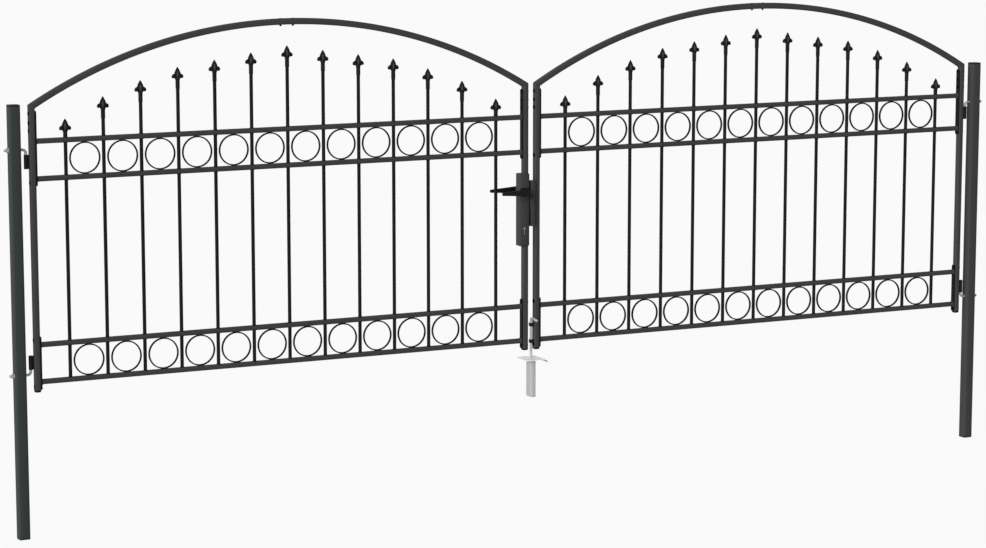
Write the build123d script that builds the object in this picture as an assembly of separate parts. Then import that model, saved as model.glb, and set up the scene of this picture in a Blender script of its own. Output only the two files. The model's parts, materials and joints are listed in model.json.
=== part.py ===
from build123d import *

import math
import os

# Double-leaf arched driveway gate of welded steel tube, powder coated, between two square posts.
# Frame: origin at the centre of the left post's foot, +X to the right post, +Y away from the
# side with the drop bolt's handle, +Z up. All lengths are in millimetres.
# Small round bars and holes are drawn with flat sides, because a gate has so many of them.

# Opening, ground line and posts
POST_SPACING = 4950.0
POST_BURIED = 605.0
POST_SIDE = 50.0
POST_WALL = 2.0
POST_CORNER = 4.0
POST_SHORTFALL = 2.0
POST_CAP_RISE = 6.0
POST_CAP_EDGE = 2.0
HINGE_GAP = 40.0
MEETING_GAP = 32.2

# Leaf frame: square tube stiles under an arched top of the same tube
STILE_SIDE = 28.0
STILE_WALL = 1.5
LEAF_CLEARANCE = 41.0
STILE_CAP_RISE = 10.0
STILE_CAP_ROUND_SHARE = 0.8
SHOULDER_RISE = 157.8
ARCH_RISE = 335.5

# Infill panel: two pairs of rails, pickets through all four, end strips bolted to the stiles
RAIL_SIDE = 23.0
TOP_RAIL_RISE = 1138.2
BOTTOM_RAIL_RISE = 45.6
STRIP_THICKNESS = 5.0
STRIP_WIDTH = 25.0
UPPER_STRIP_HANG = 30.8
UPPER_STRIP_GAP = 11.0
LOWER_STRIP_STAND = 36.0
PICKET_DIAMETER = 16.0
PICKET_FACETS = 8
PICKET_END_SPACE = 136.0
OUTER_PICKET_NECK = 24.7
TIP_STEP_SHARE = 0.076
TIP_RISE_SHARES = (3.5, 2.5, 2.0, 1.0, 1.0, 1.0)

# Rings welded between each pair of rails, clear of the pickets
RING_BAR = 6.0
RING_DEPTH = 10.0
RING_FACETS = 12
RING_SIDE_GAP = 8.0
RING_SEAT_GAP = 0.1

# Cast spear heads: a blade over two round lobes
HEAD_HEIGHT = 57.0
HEAD_WIDTH = 54.0
HEAD_THICKNESS = 12.0
BLADE_BELLY_SHARES = (0.205, 0.3)
LOBE_DEPTH_SHARE = 0.72
LOBE_RADIUS_SHARE = 0.176
LOBE_HALF_TURN = 110.0
LOBE_FACETS = 4

# Round rods, discs and holes
ROD_FACETS = 12
DISC_FACETS = 24
HOLE_CLEARANCE = 0.2

# Hinges: a threaded bolt bent to a right angle turns in a knuckle welded to the stile
HINGE_ROD = 12.0
HINGE_BEND = 12.0
HINGE_ROD_PROUD = 11.0
HINGE_NUT_FLATS = 19.0
HINGE_NUT_HEIGHT = 10.0
KNUCKLE_REACH = 14.6
KNUCKLE_WALL = 2.7
KNUCKLE_LENGTH = 62.0
KNUCKLE_CLEARANCE = 0.3
KNUCKLE_PLATE = 6.0
UPPER_HINGE_DROP = 34.2
LOWER_HINGE_RISE = 80.0
HINGE_SEAT_DROP = 22.0
PIN_REACH = 48.0

# Lock on the left leaf's meeting stile, placed in the clear height between the two bands
LOCK_WIDTH = 50.0
LOCK_DEPTH = 44.0
LOCK_FOOT_SHARE = 0.3925
LOCK_HEIGHT_SHARE = 0.4844
SPINDLE_SHARE = 0.75
SPINDLE_SIDE = 8.0
SPINDLE_CLEARANCE = 0.5
SPINDLE_SOCKET = 20.0
SOCKET_CLEARANCE = 0.05
ROSE_DIAMETER = 38.0
ROSE_HEIGHT = 6.0
LEVER_STANDOFF = 65.0
LEVER_LENGTH = 137.0
LEVER_HEIGHT = 20.0
LEVER_THICKNESS = 12.0
LEVER_NECK = 22.0
LEVER_RUN_GAP = 0.4
KEY_SHARE = 0.209
KEY_BARREL = 17.0
KEY_LEG_WIDTH = 10.0
KEY_PROFILE_HEIGHT = 33.0
KEY_PROUD = 3.0

# Keeper on the right leaf's meeting stile, across from the lock
KEEPER_GAP = 20.2
KEEPER_DEPTH = 44.0
KEEPER_FOOT_SHARE = 0.2676
KEEPER_HEIGHT_SHARE = 0.6235
KEEPER_WALL = 3.0
KEEPER_BRIDGE_SHARE = 0.283

# Drop bolt on the right leaf and its socket in the ground
BOLT_ROD = 12.0
BOLT_STANDOFF = 12.1
BOLT_TOP_RISE = 195.0
BOLT_BURIED = 70.0
BOLT_BEND = 12.0
BOLT_HANDLE = 60.0
BOLT_HANDLE_DROOP = 9.0
GUIDE_DROPS = (35.0, 114.0)
GUIDE_HEIGHT = 16.0
GUIDE_DEPTH = 24.0
GUIDE_WALL = 3.5
GUIDE_CLEARANCE = 0.3
SOCKET_WIDTH = 25.0
SOCKET_DEPTH = 52.0
SOCKET_WALL = 2.0
SOCKET_LENGTH = 178.0
FLANGE_THICKNESS = 4.0
FLANGE_DEPTH = 106.0
FLANGE_LEFT = 47.0
FLANGE_RIGHT = 45.0
TAB_REACH = 22.0
TAB_DROP = 22.0

# Cutting tools run past the faces that they cut by this much
OVERRUN = 20.0

# Places along the gate, from the sizes above
MIDDLE = POST_SPACING / 2
POST_FACE = POST_SIDE / 2
HINGE_STILE_OUT = POST_FACE + HINGE_GAP
HINGE_STILE_IN = HINGE_STILE_OUT + STILE_SIDE
HINGE_AXIS = HINGE_STILE_OUT - KNUCKLE_REACH
MEETING_STILE_OUT = MIDDLE - MEETING_GAP / 2
MEETING_STILE_IN = MEETING_STILE_OUT - STILE_SIDE
LEAF_CENTRE = (HINGE_STILE_OUT + MEETING_STILE_OUT) / 2
HALF_SPAN = (MEETING_STILE_OUT - HINGE_STILE_OUT) / 2
PANEL_LEFT = HINGE_STILE_IN + STRIP_THICKNESS
PANEL_RIGHT = MEETING_STILE_IN - STRIP_THICKNESS
LOCK_X = MEETING_STILE_OUT - LOCK_WIDTH / 2
BOLT_X = MIDDLE + MEETING_GAP / 2 - BOLT_STANDOFF
MIRROR_PLANE = Plane.YZ.offset(MIDDLE)

# Pickets and rings: a ring fills the space between two pickets, and sets the rails' distance
PICKETS = 2 * len(TIP_RISE_SHARES) + 1
PICKET_PITCH = (MEETING_STILE_IN - HINGE_STILE_IN - 2 * PICKET_END_SPACE) / (PICKETS - 1)
RING_DIAMETER = PICKET_PITCH - PICKET_DIAMETER - 2 * RING_SIDE_GAP
RAIL_PAIR_SPACING = RING_DIAMETER + 2 * RING_SEAT_GAP + RAIL_SIDE

# Heights above the posts' feet
STILE_FOOT = POST_BURIED + LEAF_CLEARANCE
TOP_RAIL = POST_BURIED + TOP_RAIL_RISE
BOTTOM_RAIL = STILE_FOOT + BOTTOM_RAIL_RISE
RAIL_HEIGHTS = (TOP_RAIL, TOP_RAIL - RAIL_PAIR_SPACING, BOTTOM_RAIL + RAIL_PAIR_SPACING, BOTTOM_RAIL)
SHOULDER = TOP_RAIL + SHOULDER_RISE
POST_TOP = SHOULDER - POST_SHORTFALL
UPPER_HINGE = TOP_RAIL - UPPER_HINGE_DROP
LOWER_HINGE = STILE_FOOT + LOWER_HINGE_RISE

# Arch circle through both shoulders, and the mitre where the tube turns down into the stile
ARCH_RADIUS = (HALF_SPAN**2 + ARCH_RISE**2) / (2 * ARCH_RISE)
ARCH_INSIDE = ARCH_RADIUS - STILE_SIDE
ARCH_CENTRE = SHOULDER + ARCH_RISE - ARCH_RADIUS
ARMPIT = ARCH_CENTRE + math.sqrt(ARCH_INSIDE**2 - (HALF_SPAN - STILE_SIDE) ** 2)

# Lock and keeper
CLEAR_FOOT = RAIL_HEIGHTS[2] + RAIL_SIDE / 2
CLEAR_HEIGHT = RAIL_HEIGHTS[1] - RAIL_SIDE / 2 - CLEAR_FOOT
LOCK_HEIGHT = CLEAR_HEIGHT * LOCK_HEIGHT_SHARE
LOCK_FOOT = CLEAR_FOOT + CLEAR_HEIGHT * LOCK_FOOT_SHARE
SPINDLE_CORNERS = SPINDLE_SIDE * math.sqrt(2)
SPINDLE_Z = LOCK_FOOT + LOCK_HEIGHT * SPINDLE_SHARE
KEY_Z = LOCK_FOOT + LOCK_HEIGHT * KEY_SHARE
KEEPER_FOOT = LOCK_FOOT + LOCK_HEIGHT * KEEPER_FOOT_SHARE
KEEPER_HEIGHT = LOCK_HEIGHT * KEEPER_HEIGHT_SHARE
KEEPER_BRIDGE = KEEPER_HEIGHT * KEEPER_BRIDGE_SHARE


def block(x_low, x_high, y_low, y_high, z_low, z_high):
    """A box between two corners."""
    corner = Pos(x_low, y_low, z_low)
    return corner * Box(x_high - x_low, y_high - y_low, z_high - z_low, align=(Align.MIN,) * 3)


def upright_plate(points, thickness):
    """A flat outline in the gate's plane, as thick as stated, centred on the plane."""
    outline = Plane.XZ * Polygon(*points, align=None)
    return extrude(outline, amount=thickness / 2, both=True)


def along_y(shape, x, z):
    """A flat shape set upright at a place in the gate's plane."""
    return Plane(origin=(x, 0, z), x_dir=(1, 0, 0), z_dir=(0, -1, 0)) * shape


def right_hand(shape):
    """The same shape on the right leaf or the right post."""
    return mirror(shape, about=MIRROR_PLANE)


def save(node, shape):
    """One file per node."""
    shape.label = node
    export_step(shape, os.path.join("parts", node + ".step"))


def save_solids(node, solids):
    """One node that holds several like solids."""
    save(node, Compound(children=list(solids)))


def rod_section(diameter):
    """Cross-section of a round rod."""
    return RegularPolygon(diameter / 2, ROD_FACETS)


def rod_hole(diameter, clearance):
    """Cross-section of a hole that a round rod passes with a clearance all round."""
    return RegularPolygon(diameter / 2 + clearance, ROD_FACETS, major_radius=False)


def bent_rod(start, corner, end, diameter, bend):
    """Round rod along two straight runs, with the corner between them bent over in short steps."""
    first = Vector(*corner) - (Vector(*corner) - Vector(*start)).normalized() * bend
    last = Vector(*corner) + (Vector(*end) - Vector(*corner)).normalized() * bend
    path = Polyline(start, first, last, end)
    section = Plane(path @ 0, z_dir=path % 0) * rod_section(diameter)
    return sweep(section, path, transition=Transition.RIGHT)


def square_section(side, corner):
    """Square with eased corners."""
    square = Rectangle(side, side)
    return chamfer(square.vertices(), corner)


def post():
    """Square tube post, drilled along X for the two hinge bolts."""
    outside = square_section(POST_SIDE, POST_CORNER)
    inside = square_section(POST_SIDE - 2 * POST_WALL, POST_CORNER - POST_WALL)
    tube = Pos(0, 0, POST_CAP_RISE) * extrude(outside - inside, POST_TOP - POST_CAP_RISE)
    hole = extrude(rod_hole(HINGE_ROD, HOLE_CLEARANCE), amount=POST_FACE + OVERRUN, both=True)
    for height in (UPPER_HINGE, LOWER_HINGE):
        tube -= Pos(0, 0, height) * Rot(0, 90, 0) * hole
    return tube


def post_caps():
    """Flat plastic caps with eased edges that close the post's foot and top."""
    plate = extrude(square_section(POST_SIDE, POST_CORNER), POST_CAP_RISE)
    foot_cap = chamfer(plate.faces().sort_by(Axis.Z)[0].edges(), POST_CAP_EDGE)
    top_cap = chamfer(plate.faces().sort_by(Axis.Z)[-1].edges(), POST_CAP_EDGE)
    return [foot_cap, Pos(0, 0, POST_TOP) * top_cap]


def hinge_bolt(height, turn):
    """Round bolt through the post, bent to a pin that points up (+1) or down (-1)."""
    rod_end = POST_FACE + HINGE_NUT_HEIGHT + HINGE_ROD_PROUD
    pin_end = height + turn * (HINGE_SEAT_DROP + PIN_REACH)
    start = (-rod_end, 0, height)
    corner = (HINGE_AXIS, 0, height)
    return bent_rod(start, corner, (HINGE_AXIS, 0, pin_end), HINGE_ROD, HINGE_BEND)


def hinge_nut(height):
    """Hexagon nut that draws the bolt up against the post's outer face."""
    hexagon = RegularPolygon(HINGE_NUT_FLATS / 2, 6, major_radius=False)
    nut = extrude(hexagon - rod_hole(HINGE_ROD, HOLE_CLEARANCE), HINGE_NUT_HEIGHT)
    return Pos(-POST_FACE, 0, height) * Rot(0, -90, 0) * nut


def hinge_knuckle(height, turn):
    """Tube that turns on the pin, with the plate that welds it to the stile."""
    near = height + turn * HINGE_SEAT_DROP
    low = min(near, near + turn * KNUCKLE_LENGTH)
    half = KNUCKLE_PLATE / 2
    top = low + KNUCKLE_LENGTH
    outside = rod_hole(HINGE_ROD, KNUCKLE_CLEARANCE + KNUCKLE_WALL)
    barrel = Pos(HINGE_AXIS, 0, low) * extrude(outside, KNUCKLE_LENGTH)
    bore = Pos(HINGE_AXIS, 0, low) * extrude(rod_hole(HINGE_ROD, KNUCKLE_CLEARANCE), KNUCKLE_LENGTH)
    return barrel + block(HINGE_AXIS, HINGE_STILE_OUT, -half, half, low, top) - bore


def stile(outer_x, inner_x):
    """Square tube upright, mitred at the shoulder to meet the arch."""
    foot = STILE_FOOT + STILE_CAP_RISE
    outside = [(outer_x, foot), (inner_x, foot), (inner_x, ARMPIT), (outer_x, SHOULDER)]
    inward = math.copysign(STILE_WALL, inner_x - outer_x)
    cavity = block(
        min(outer_x + inward, inner_x - inward),
        max(outer_x + inward, inner_x - inward),
        STILE_WALL - STILE_SIDE / 2,
        STILE_SIDE / 2 - STILE_WALL,
        foot,
        SHOULDER + OVERRUN,
    )
    return upright_plate(outside, STILE_SIDE) - cavity


def stile_cap(centre_x):
    """Rounded plastic foot that closes the tube."""
    cap = block(
        centre_x - STILE_SIDE / 2,
        centre_x + STILE_SIDE / 2,
        -STILE_SIDE / 2,
        STILE_SIDE / 2,
        STILE_FOOT,
        STILE_FOOT + STILE_CAP_RISE,
    )
    underside = cap.faces().sort_by(Axis.Z)[0]
    return chamfer(underside.edges().filter_by(Axis.Y), STILE_CAP_RISE * STILE_CAP_ROUND_SHARE)


def on_arch(radius, angle):
    """The point of an arch circle at an angle from its crown, towards +X."""
    x = LEAF_CENTRE + radius * math.sin(angle)
    return (x, ARCH_CENTRE + radius * math.cos(angle))


def arch_sector(outer, inner, outer_end, inner_end, start):
    """The flat ring sector between two arch circles, from a start angle to its two end angles."""
    top = ThreePointArc(
        on_arch(outer, outer_end), on_arch(outer, (outer_end + start) / 2), on_arch(outer, start)
    )
    bottom = ThreePointArc(
        on_arch(inner, start), on_arch(inner, (inner_end + start) / 2), on_arch(inner, inner_end)
    )
    crown = Line(top @ 1, bottom @ 0)
    mitre = Line(bottom @ 1, top @ 0)
    return make_face([top, crown, bottom, mitre])


def arch_half(hand):
    """Half of the arched tube, from the crown seam to the shoulder mitre on one side (-1 or 1)."""
    outer_end = math.asin(HALF_SPAN / ARCH_RADIUS)
    inner_end = math.asin((HALF_SPAN - STILE_SIDE) / ARCH_INSIDE)
    bore_end = outer_end + OVERRUN / ARCH_RADIUS
    bore_start = -OVERRUN / ARCH_RADIUS
    tube = arch_sector(ARCH_RADIUS, ARCH_INSIDE, hand * outer_end, hand * inner_end, 0)
    bore = arch_sector(
        ARCH_RADIUS - STILE_WALL,
        ARCH_INSIDE + STILE_WALL,
        hand * bore_end,
        hand * bore_end,
        hand * bore_start,
    )
    outside = extrude(Plane.XZ * tube, amount=STILE_SIDE / 2, both=True)
    return outside - extrude(Plane.XZ * bore, amount=STILE_SIDE / 2 - STILE_WALL, both=True)


def picket_tips():
    """Height of each spear tip: steps, shares of the arch's rise, that shrink towards the middle picket."""
    rising = [TOP_RAIL + RAIL_SIDE / 2 + OUTER_PICKET_NECK + HEAD_HEIGHT]
    for share in TIP_RISE_SHARES:
        rising.append(rising[-1] + share * TIP_STEP_SHARE * ARCH_RISE)
    return rising + rising[-2::-1]


def picket_places():
    """X of each picket axis with the height of its spear tip."""
    first = HINGE_STILE_IN + PICKET_END_SPACE
    return [(first + number * PICKET_PITCH, tip) for number, tip in enumerate(picket_tips())]


def panel():
    """Four rails with all the pickets welded through them."""
    half = RAIL_SIDE / 2
    bars = [
        block(PANEL_LEFT, PANEL_RIGHT, -half, half, height - half, height + half)
        for height in RAIL_HEIGHTS
    ]
    section = RegularPolygon(PICKET_DIAMETER / 2, PICKET_FACETS)
    for x, tip in picket_places():
        bars.append(Pos(x, 0, BOTTOM_RAIL) * extrude(section, tip - HEAD_HEIGHT - BOTTOM_RAIL))
    return bars[0].fuse(*bars[1:])


def rings(upper_rail):
    """One band of rings, between the pickets and between two rails."""
    half_facet = 180 / RING_FACETS
    outside = RegularPolygon(RING_DIAMETER / 2, RING_FACETS, major_radius=False, rotation=half_facet)
    inside = RegularPolygon(
        RING_DIAMETER / 2 - RING_BAR, RING_FACETS, major_radius=False, rotation=half_facet
    )
    ring = extrude(outside - inside, amount=RING_DEPTH / 2, both=True)
    height = upper_rail - RAIL_PAIR_SPACING / 2
    return [along_y(ring, x + PICKET_PITCH / 2, height) for x, tip in picket_places()[:-1]]


def lobe_points():
    """The round lobe on a head's right side, from the blade's foot down to the throat."""
    radius = HEAD_WIDTH * LOBE_RADIUS_SHARE
    turn = math.radians(LOBE_HALF_TURN)
    angles = [turn - number * 2 * turn / LOBE_FACETS for number in range(LOBE_FACETS + 1)]
    x = HEAD_WIDTH / 2 - radius
    z = -HEAD_HEIGHT * LOBE_DEPTH_SHARE
    return [(x + radius * math.cos(angle), z + radius * math.sin(angle)) for angle in angles]


def spear_head(x, tip):
    """Cast head: a pointed blade over two drooping lobes, on the picket's end."""
    belly = (HEAD_WIDTH * BLADE_BELLY_SHARES[0], -HEAD_HEIGHT * BLADE_BELLY_SHARES[1])
    right_side = [belly] + lobe_points() + [(PICKET_DIAMETER / 2, -HEAD_HEIGHT)]
    left_side = [(-across, up) for across, up in reversed(right_side)]
    outline = Polygon((0, 0), *right_side, *left_side, align=None)
    return along_y(extrude(outline, amount=HEAD_THICKNESS / 2, both=True), x, tip)


def end_strips():
    """Flat bars on the panel's ends that bolt to the stiles, above and below."""
    upper = (RAIL_HEIGHTS[1] - UPPER_STRIP_HANG, ARMPIT - UPPER_STRIP_GAP)
    lower = (STILE_FOOT + STILE_CAP_RISE, RAIL_HEIGHTS[2] + LOWER_STRIP_STAND)
    sides = ((HINGE_STILE_IN, PANEL_LEFT), (PANEL_RIGHT, MEETING_STILE_IN))
    half = STRIP_WIDTH / 2
    return [
        block(left, right, -half, half, low, high)
        for left, right in sides
        for low, high in (upper, lower)
    ]


def lock_envelope():
    """The space that the lock case fills in the stile."""
    half = LOCK_DEPTH / 2
    left = MEETING_STILE_OUT - LOCK_WIDTH
    return block(left, MEETING_STILE_OUT, -half, half, LOCK_FOOT, LOCK_FOOT + LOCK_HEIGHT)


def key_profile(clearance):
    """Outline of the profile cylinder: a round barrel over a narrow leg."""
    barrel = Pos(0, KEY_PROFILE_HEIGHT / 2 - KEY_BARREL / 2) * rod_hole(KEY_BARREL, clearance)
    leg_height = KEY_PROFILE_HEIGHT - KEY_BARREL / 2 + clearance
    leg = Pos(0, -KEY_PROFILE_HEIGHT / 2 - clearance) * Rectangle(
        KEY_LEG_WIDTH + 2 * clearance, leg_height, align=(Align.CENTER, Align.MIN)
    )
    return barrel + leg


def lock_case():
    """Case welded into the stile, bored for the spindle and the key cylinder."""
    reach = LOCK_DEPTH / 2 + OVERRUN
    spindle_bore = extrude(rod_hole(SPINDLE_CORNERS, SPINDLE_CLEARANCE), amount=reach, both=True)
    key_bore = extrude(key_profile(HOLE_CLEARANCE), amount=reach, both=True)
    case = lock_envelope() - along_y(spindle_bore, LOCK_X, SPINDLE_Z)
    return case - along_y(key_bore, LOCK_X, KEY_Z)


def key_cylinder():
    """Profile cylinder, a little proud of the case on both sides."""
    barrel = extrude(key_profile(0), amount=LOCK_DEPTH / 2 + KEY_PROUD, both=True)
    return along_y(barrel, LOCK_X, KEY_Z)


def lever_rose():
    """Round plate on the case's near face, around the lever's spindle."""
    disc = RegularPolygon(ROSE_DIAMETER / 2, DISC_FACETS)
    plate = extrude(disc - rod_hole(SPINDLE_CORNERS, SPINDLE_CLEARANCE), ROSE_HEIGHT)
    return Pos(0, -LOCK_DEPTH / 2, 0) * along_y(plate, LOCK_X, SPINDLE_Z)


def lever():
    """Lever on the near side: a neck off the rose and a bar towards the pickets."""
    neck_start = LOCK_DEPTH / 2 + ROSE_HEIGHT + LEVER_RUN_GAP
    bar_back = LEVER_STANDOFF - LEVER_THICKNESS / 2
    bar_front = LEVER_STANDOFF + LEVER_THICKNESS / 2
    neck_disc = RegularPolygon(LEVER_NECK / 2, DISC_FACETS)
    neck = Pos(0, 0, neck_start) * extrude(neck_disc, bar_front - neck_start)
    length = LEVER_LENGTH + LEVER_HEIGHT / 2
    outline = Rectangle(length, LEVER_HEIGHT)
    outline = chamfer(outline.vertices(), LEVER_HEIGHT / 4)
    bar = Pos(LEVER_HEIGHT / 2 - length / 2, 0, bar_back) * extrude(outline, LEVER_THICKNESS)
    side = SPINDLE_SIDE + 2 * SOCKET_CLEARANCE
    socket = Pos(0, 0, neck_start) * extrude(Rectangle(side, side), SPINDLE_SOCKET)
    return along_y(neck + bar - socket, LOCK_X, SPINDLE_Z)


def spindle():
    """Square bar that joins the two levers through the case."""
    reach = LOCK_DEPTH / 2 + ROSE_HEIGHT + LEVER_RUN_GAP + SPINDLE_SOCKET
    bar = extrude(Rectangle(SPINDLE_SIDE, SPINDLE_SIDE), amount=reach, both=True)
    return along_y(bar, LOCK_X, SPINDLE_Z)


def far_side(shape):
    """The same piece on the far face of the gate."""
    return mirror(shape, about=Plane.XZ)


def keeper():
    """Keep for the lock's bolts: a block on the stile with two pockets, one over the other."""
    right = MIDDLE + MEETING_GAP / 2
    left = MEETING_STILE_OUT + KEEPER_GAP
    half = KEEPER_DEPTH / 2
    top = KEEPER_FOOT + KEEPER_HEIGHT
    body = block(left, right, -half, half, KEEPER_FOOT, top)
    centre = (KEEPER_FOOT + top) / 2
    pockets = (
        (KEEPER_FOOT + KEEPER_WALL, centre - KEEPER_BRIDGE / 2),
        (centre + KEEPER_BRIDGE / 2, top - KEEPER_WALL),
    )
    for low, high in pockets:
        inside = half - KEEPER_WALL
        body -= block(left - OVERRUN, right - KEEPER_WALL, -inside, inside, low, high)
    return body


def drop_bolt():
    """Round rod with its top bent over to a drooping handle on the near side."""
    start = (BOLT_X, 0, POST_BURIED - BOLT_BURIED)
    top = POST_BURIED + BOLT_TOP_RISE
    grip = (BOLT_X, -BOLT_HANDLE, top - BOLT_HANDLE_DROOP)
    return bent_rod(start, (BOLT_X, 0, top), grip, BOLT_ROD, BOLT_BEND)


def bolt_guide(drop):
    """Block on the stile's edge that the rod slides through, at a distance below its bent top."""
    low = POST_BURIED + BOLT_TOP_RISE - drop - GUIDE_HEIGHT / 2
    right = MIDDLE + MEETING_GAP / 2
    left = BOLT_X - BOLT_ROD / 2 - GUIDE_WALL
    half = GUIDE_DEPTH / 2
    body = block(left, right, -half, half, low, low + GUIDE_HEIGHT)
    bore = extrude(rod_hole(BOLT_ROD, GUIDE_CLEARANCE), GUIDE_HEIGHT)
    return body - Pos(BOLT_X, 0, low) * bore


def ground_socket():
    """Rectangular tube set in the ground under a flange whose right end is bent down."""
    under = POST_BURIED - FLANGE_THICKNESS
    sleeve = Rectangle(SOCKET_WIDTH, SOCKET_DEPTH) - Rectangle(
        SOCKET_WIDTH - 2 * SOCKET_WALL, SOCKET_DEPTH - 2 * SOCKET_WALL
    )
    tube = Pos(BOLT_X, 0, under - SOCKET_LENGTH) * extrude(sleeve, SOCKET_LENGTH)
    bend = BOLT_X + FLANGE_RIGHT
    outline = [
        (BOLT_X - FLANGE_LEFT, under),
        (bend, under),
        (bend + TAB_REACH, under - TAB_DROP),
        (bend + TAB_REACH, POST_BURIED - TAB_DROP),
        (bend, POST_BURIED),
        (BOLT_X - FLANGE_LEFT, POST_BURIED),
    ]
    entry = Pos(BOLT_X, 0, under) * extrude(rod_hole(BOLT_ROD, GUIDE_CLEARANCE), FLANGE_THICKNESS)
    return upright_plate(outline, FLANGE_DEPTH) - entry + tube


def save_posts():
    """The fixed body: both posts with their caps, hinge bolts and nuts, and the ground socket."""
    hinges = ((UPPER_HINGE, -1), (LOWER_HINGE, 1))
    bolts = [hinge_bolt(height, turn) for height, turn in hinges]
    nuts = [hinge_nut(height) for height, turn in hinges]
    caps = post_caps()
    save("left_post", post())
    save("right_post", right_hand(post()))
    save_solids("post_caps", caps + [right_hand(cap) for cap in caps])
    save_solids("hinge_bolts", bolts + [right_hand(bolt) for bolt in bolts])
    save_solids("hinge_nuts", nuts + [right_hand(nut) for nut in nuts])
    save("ground_socket", ground_socket())


def save_leaf(side, place):
    """The pieces that both leaves share; place sets a left-hand piece on its own leaf."""
    knuckles = [hinge_knuckle(UPPER_HINGE, -1), hinge_knuckle(LOWER_HINGE, 1)]
    caps = [stile_cap(HINGE_STILE_OUT + STILE_SIDE / 2), stile_cap(MEETING_STILE_OUT - STILE_SIDE / 2)]
    heads = [spear_head(x, tip) for x, tip in picket_places()]
    save(side + "_hinge_stile", place(stile(HINGE_STILE_OUT, HINGE_STILE_IN)))
    save(side + "_arch_hinge_half", place(arch_half(-1)))
    save(side + "_arch_meeting_half", place(arch_half(1)))
    save(side + "_panel", place(panel()))
    save_solids(side + "_upper_rings", [place(ring) for ring in rings(TOP_RAIL)])
    save_solids(side + "_lower_rings", [place(ring) for ring in rings(RAIL_HEIGHTS[2])])
    save_solids(side + "_spear_heads", [place(head) for head in heads])
    save_solids(side + "_end_strips", [place(strip) for strip in end_strips()])
    save_solids(side + "_stile_caps", [place(cap) for cap in caps])
    save_solids(side + "_hinge_knuckles", [place(knuckle) for knuckle in knuckles])


def save_lock():
    """The lock on the left leaf, and what it closes against on the right leaf."""
    meeting_stile = stile(MEETING_STILE_OUT, MEETING_STILE_IN)
    save_solids("left_meeting_stile", (meeting_stile - lock_envelope()).solids())
    save("lock_case", lock_case())
    save("lock_cylinder", key_cylinder())
    save_solids("lever_roses", [lever_rose(), far_side(lever_rose())])
    save("front_lever", lever())
    save("back_lever", far_side(lever()))
    save("lever_spindle", spindle())
    save("right_meeting_stile", right_hand(meeting_stile))
    save("lock_keeper", keeper())
    save("drop_bolt", drop_bolt())
    save_solids("drop_bolt_guides", [bolt_guide(drop) for drop in GUIDE_DROPS])


os.makedirs("parts", exist_ok=True)
save_posts()
save_leaf("left", lambda shape: shape)
save_leaf("right", right_hand)
save_lock()
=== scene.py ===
# %% [markdown]
# # A double-leaf driveway gate of coated steel tube
#
# The real gate is a kit. Two arched leaves of square tube hang between two square posts, round pickets
# with cast spear heads stand between four rails, and a row of rings fills each pair of rails. The CAD
# model fixes where everything is and how it moves, so nearly every place is read from it. The lesson
# loads the CAD model, replaces each plain solid with a finer piece in the same place, and gives every
# piece its finish.
#
# All lengths are in metres. A length that is easier to read in millimetres is written with MM.

# %% Load the CAD model
import json
import math

import bmesh
import bpy
from mathutils import Matrix, Vector


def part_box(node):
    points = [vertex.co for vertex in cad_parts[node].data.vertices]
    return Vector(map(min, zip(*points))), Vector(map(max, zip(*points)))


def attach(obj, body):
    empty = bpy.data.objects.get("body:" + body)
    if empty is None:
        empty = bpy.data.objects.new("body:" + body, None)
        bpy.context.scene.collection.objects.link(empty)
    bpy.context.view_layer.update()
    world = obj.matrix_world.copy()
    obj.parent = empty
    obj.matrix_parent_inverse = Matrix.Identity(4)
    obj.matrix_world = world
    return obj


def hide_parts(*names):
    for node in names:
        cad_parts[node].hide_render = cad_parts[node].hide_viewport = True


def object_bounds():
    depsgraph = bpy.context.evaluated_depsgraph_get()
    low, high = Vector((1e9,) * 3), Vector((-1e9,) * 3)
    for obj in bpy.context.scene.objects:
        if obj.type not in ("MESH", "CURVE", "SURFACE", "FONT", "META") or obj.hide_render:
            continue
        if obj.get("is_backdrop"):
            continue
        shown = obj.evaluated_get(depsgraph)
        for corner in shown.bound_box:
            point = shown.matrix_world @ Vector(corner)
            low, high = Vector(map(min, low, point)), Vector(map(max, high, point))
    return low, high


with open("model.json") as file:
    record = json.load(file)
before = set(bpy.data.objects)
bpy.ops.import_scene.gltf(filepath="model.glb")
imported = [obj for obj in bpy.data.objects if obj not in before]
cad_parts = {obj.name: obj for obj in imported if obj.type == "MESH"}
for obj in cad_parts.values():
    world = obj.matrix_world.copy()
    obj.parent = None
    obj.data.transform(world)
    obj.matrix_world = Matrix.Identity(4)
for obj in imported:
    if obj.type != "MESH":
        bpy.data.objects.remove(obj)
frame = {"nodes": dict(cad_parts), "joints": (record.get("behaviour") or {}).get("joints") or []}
cad_low, cad_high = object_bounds()
MM = 0.001
scene = bpy.context.scene
nodes = frame["nodes"]
joints = {joint["name"]: joint for joint in frame["joints"]}
print("CAD box:", [round(side, 3) for side in cad_high - cad_low], "m,", len(nodes), "nodes")


def put_in_scene(name, data):
    made = bpy.data.objects.new(name, data)
    scene.collection.objects.link(made)
    return made


# %% [markdown]
# ## Camera
#
# The photograph was taken from the left, a little above the gate, through a long lens. A camera can be
# turned by aiming it at a target, or by its own angles. The angles are kept here, because they were
# fitted to the picture together with the focal length, which is counted in pixels and turned into
# millimetres of lens.

# %% Camera
PICTURE_WIDTH = 986
FOCAL_PIXELS = 2992.2
SENSOR_WIDTH = 36.0
CAMERA_PLACE = (-3.720, -12.369, 3.151)
TURN_RIGHT = math.radians(25.88)
TILT_DOWN = math.radians(8.82)
FAR_CLIP = 800

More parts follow.
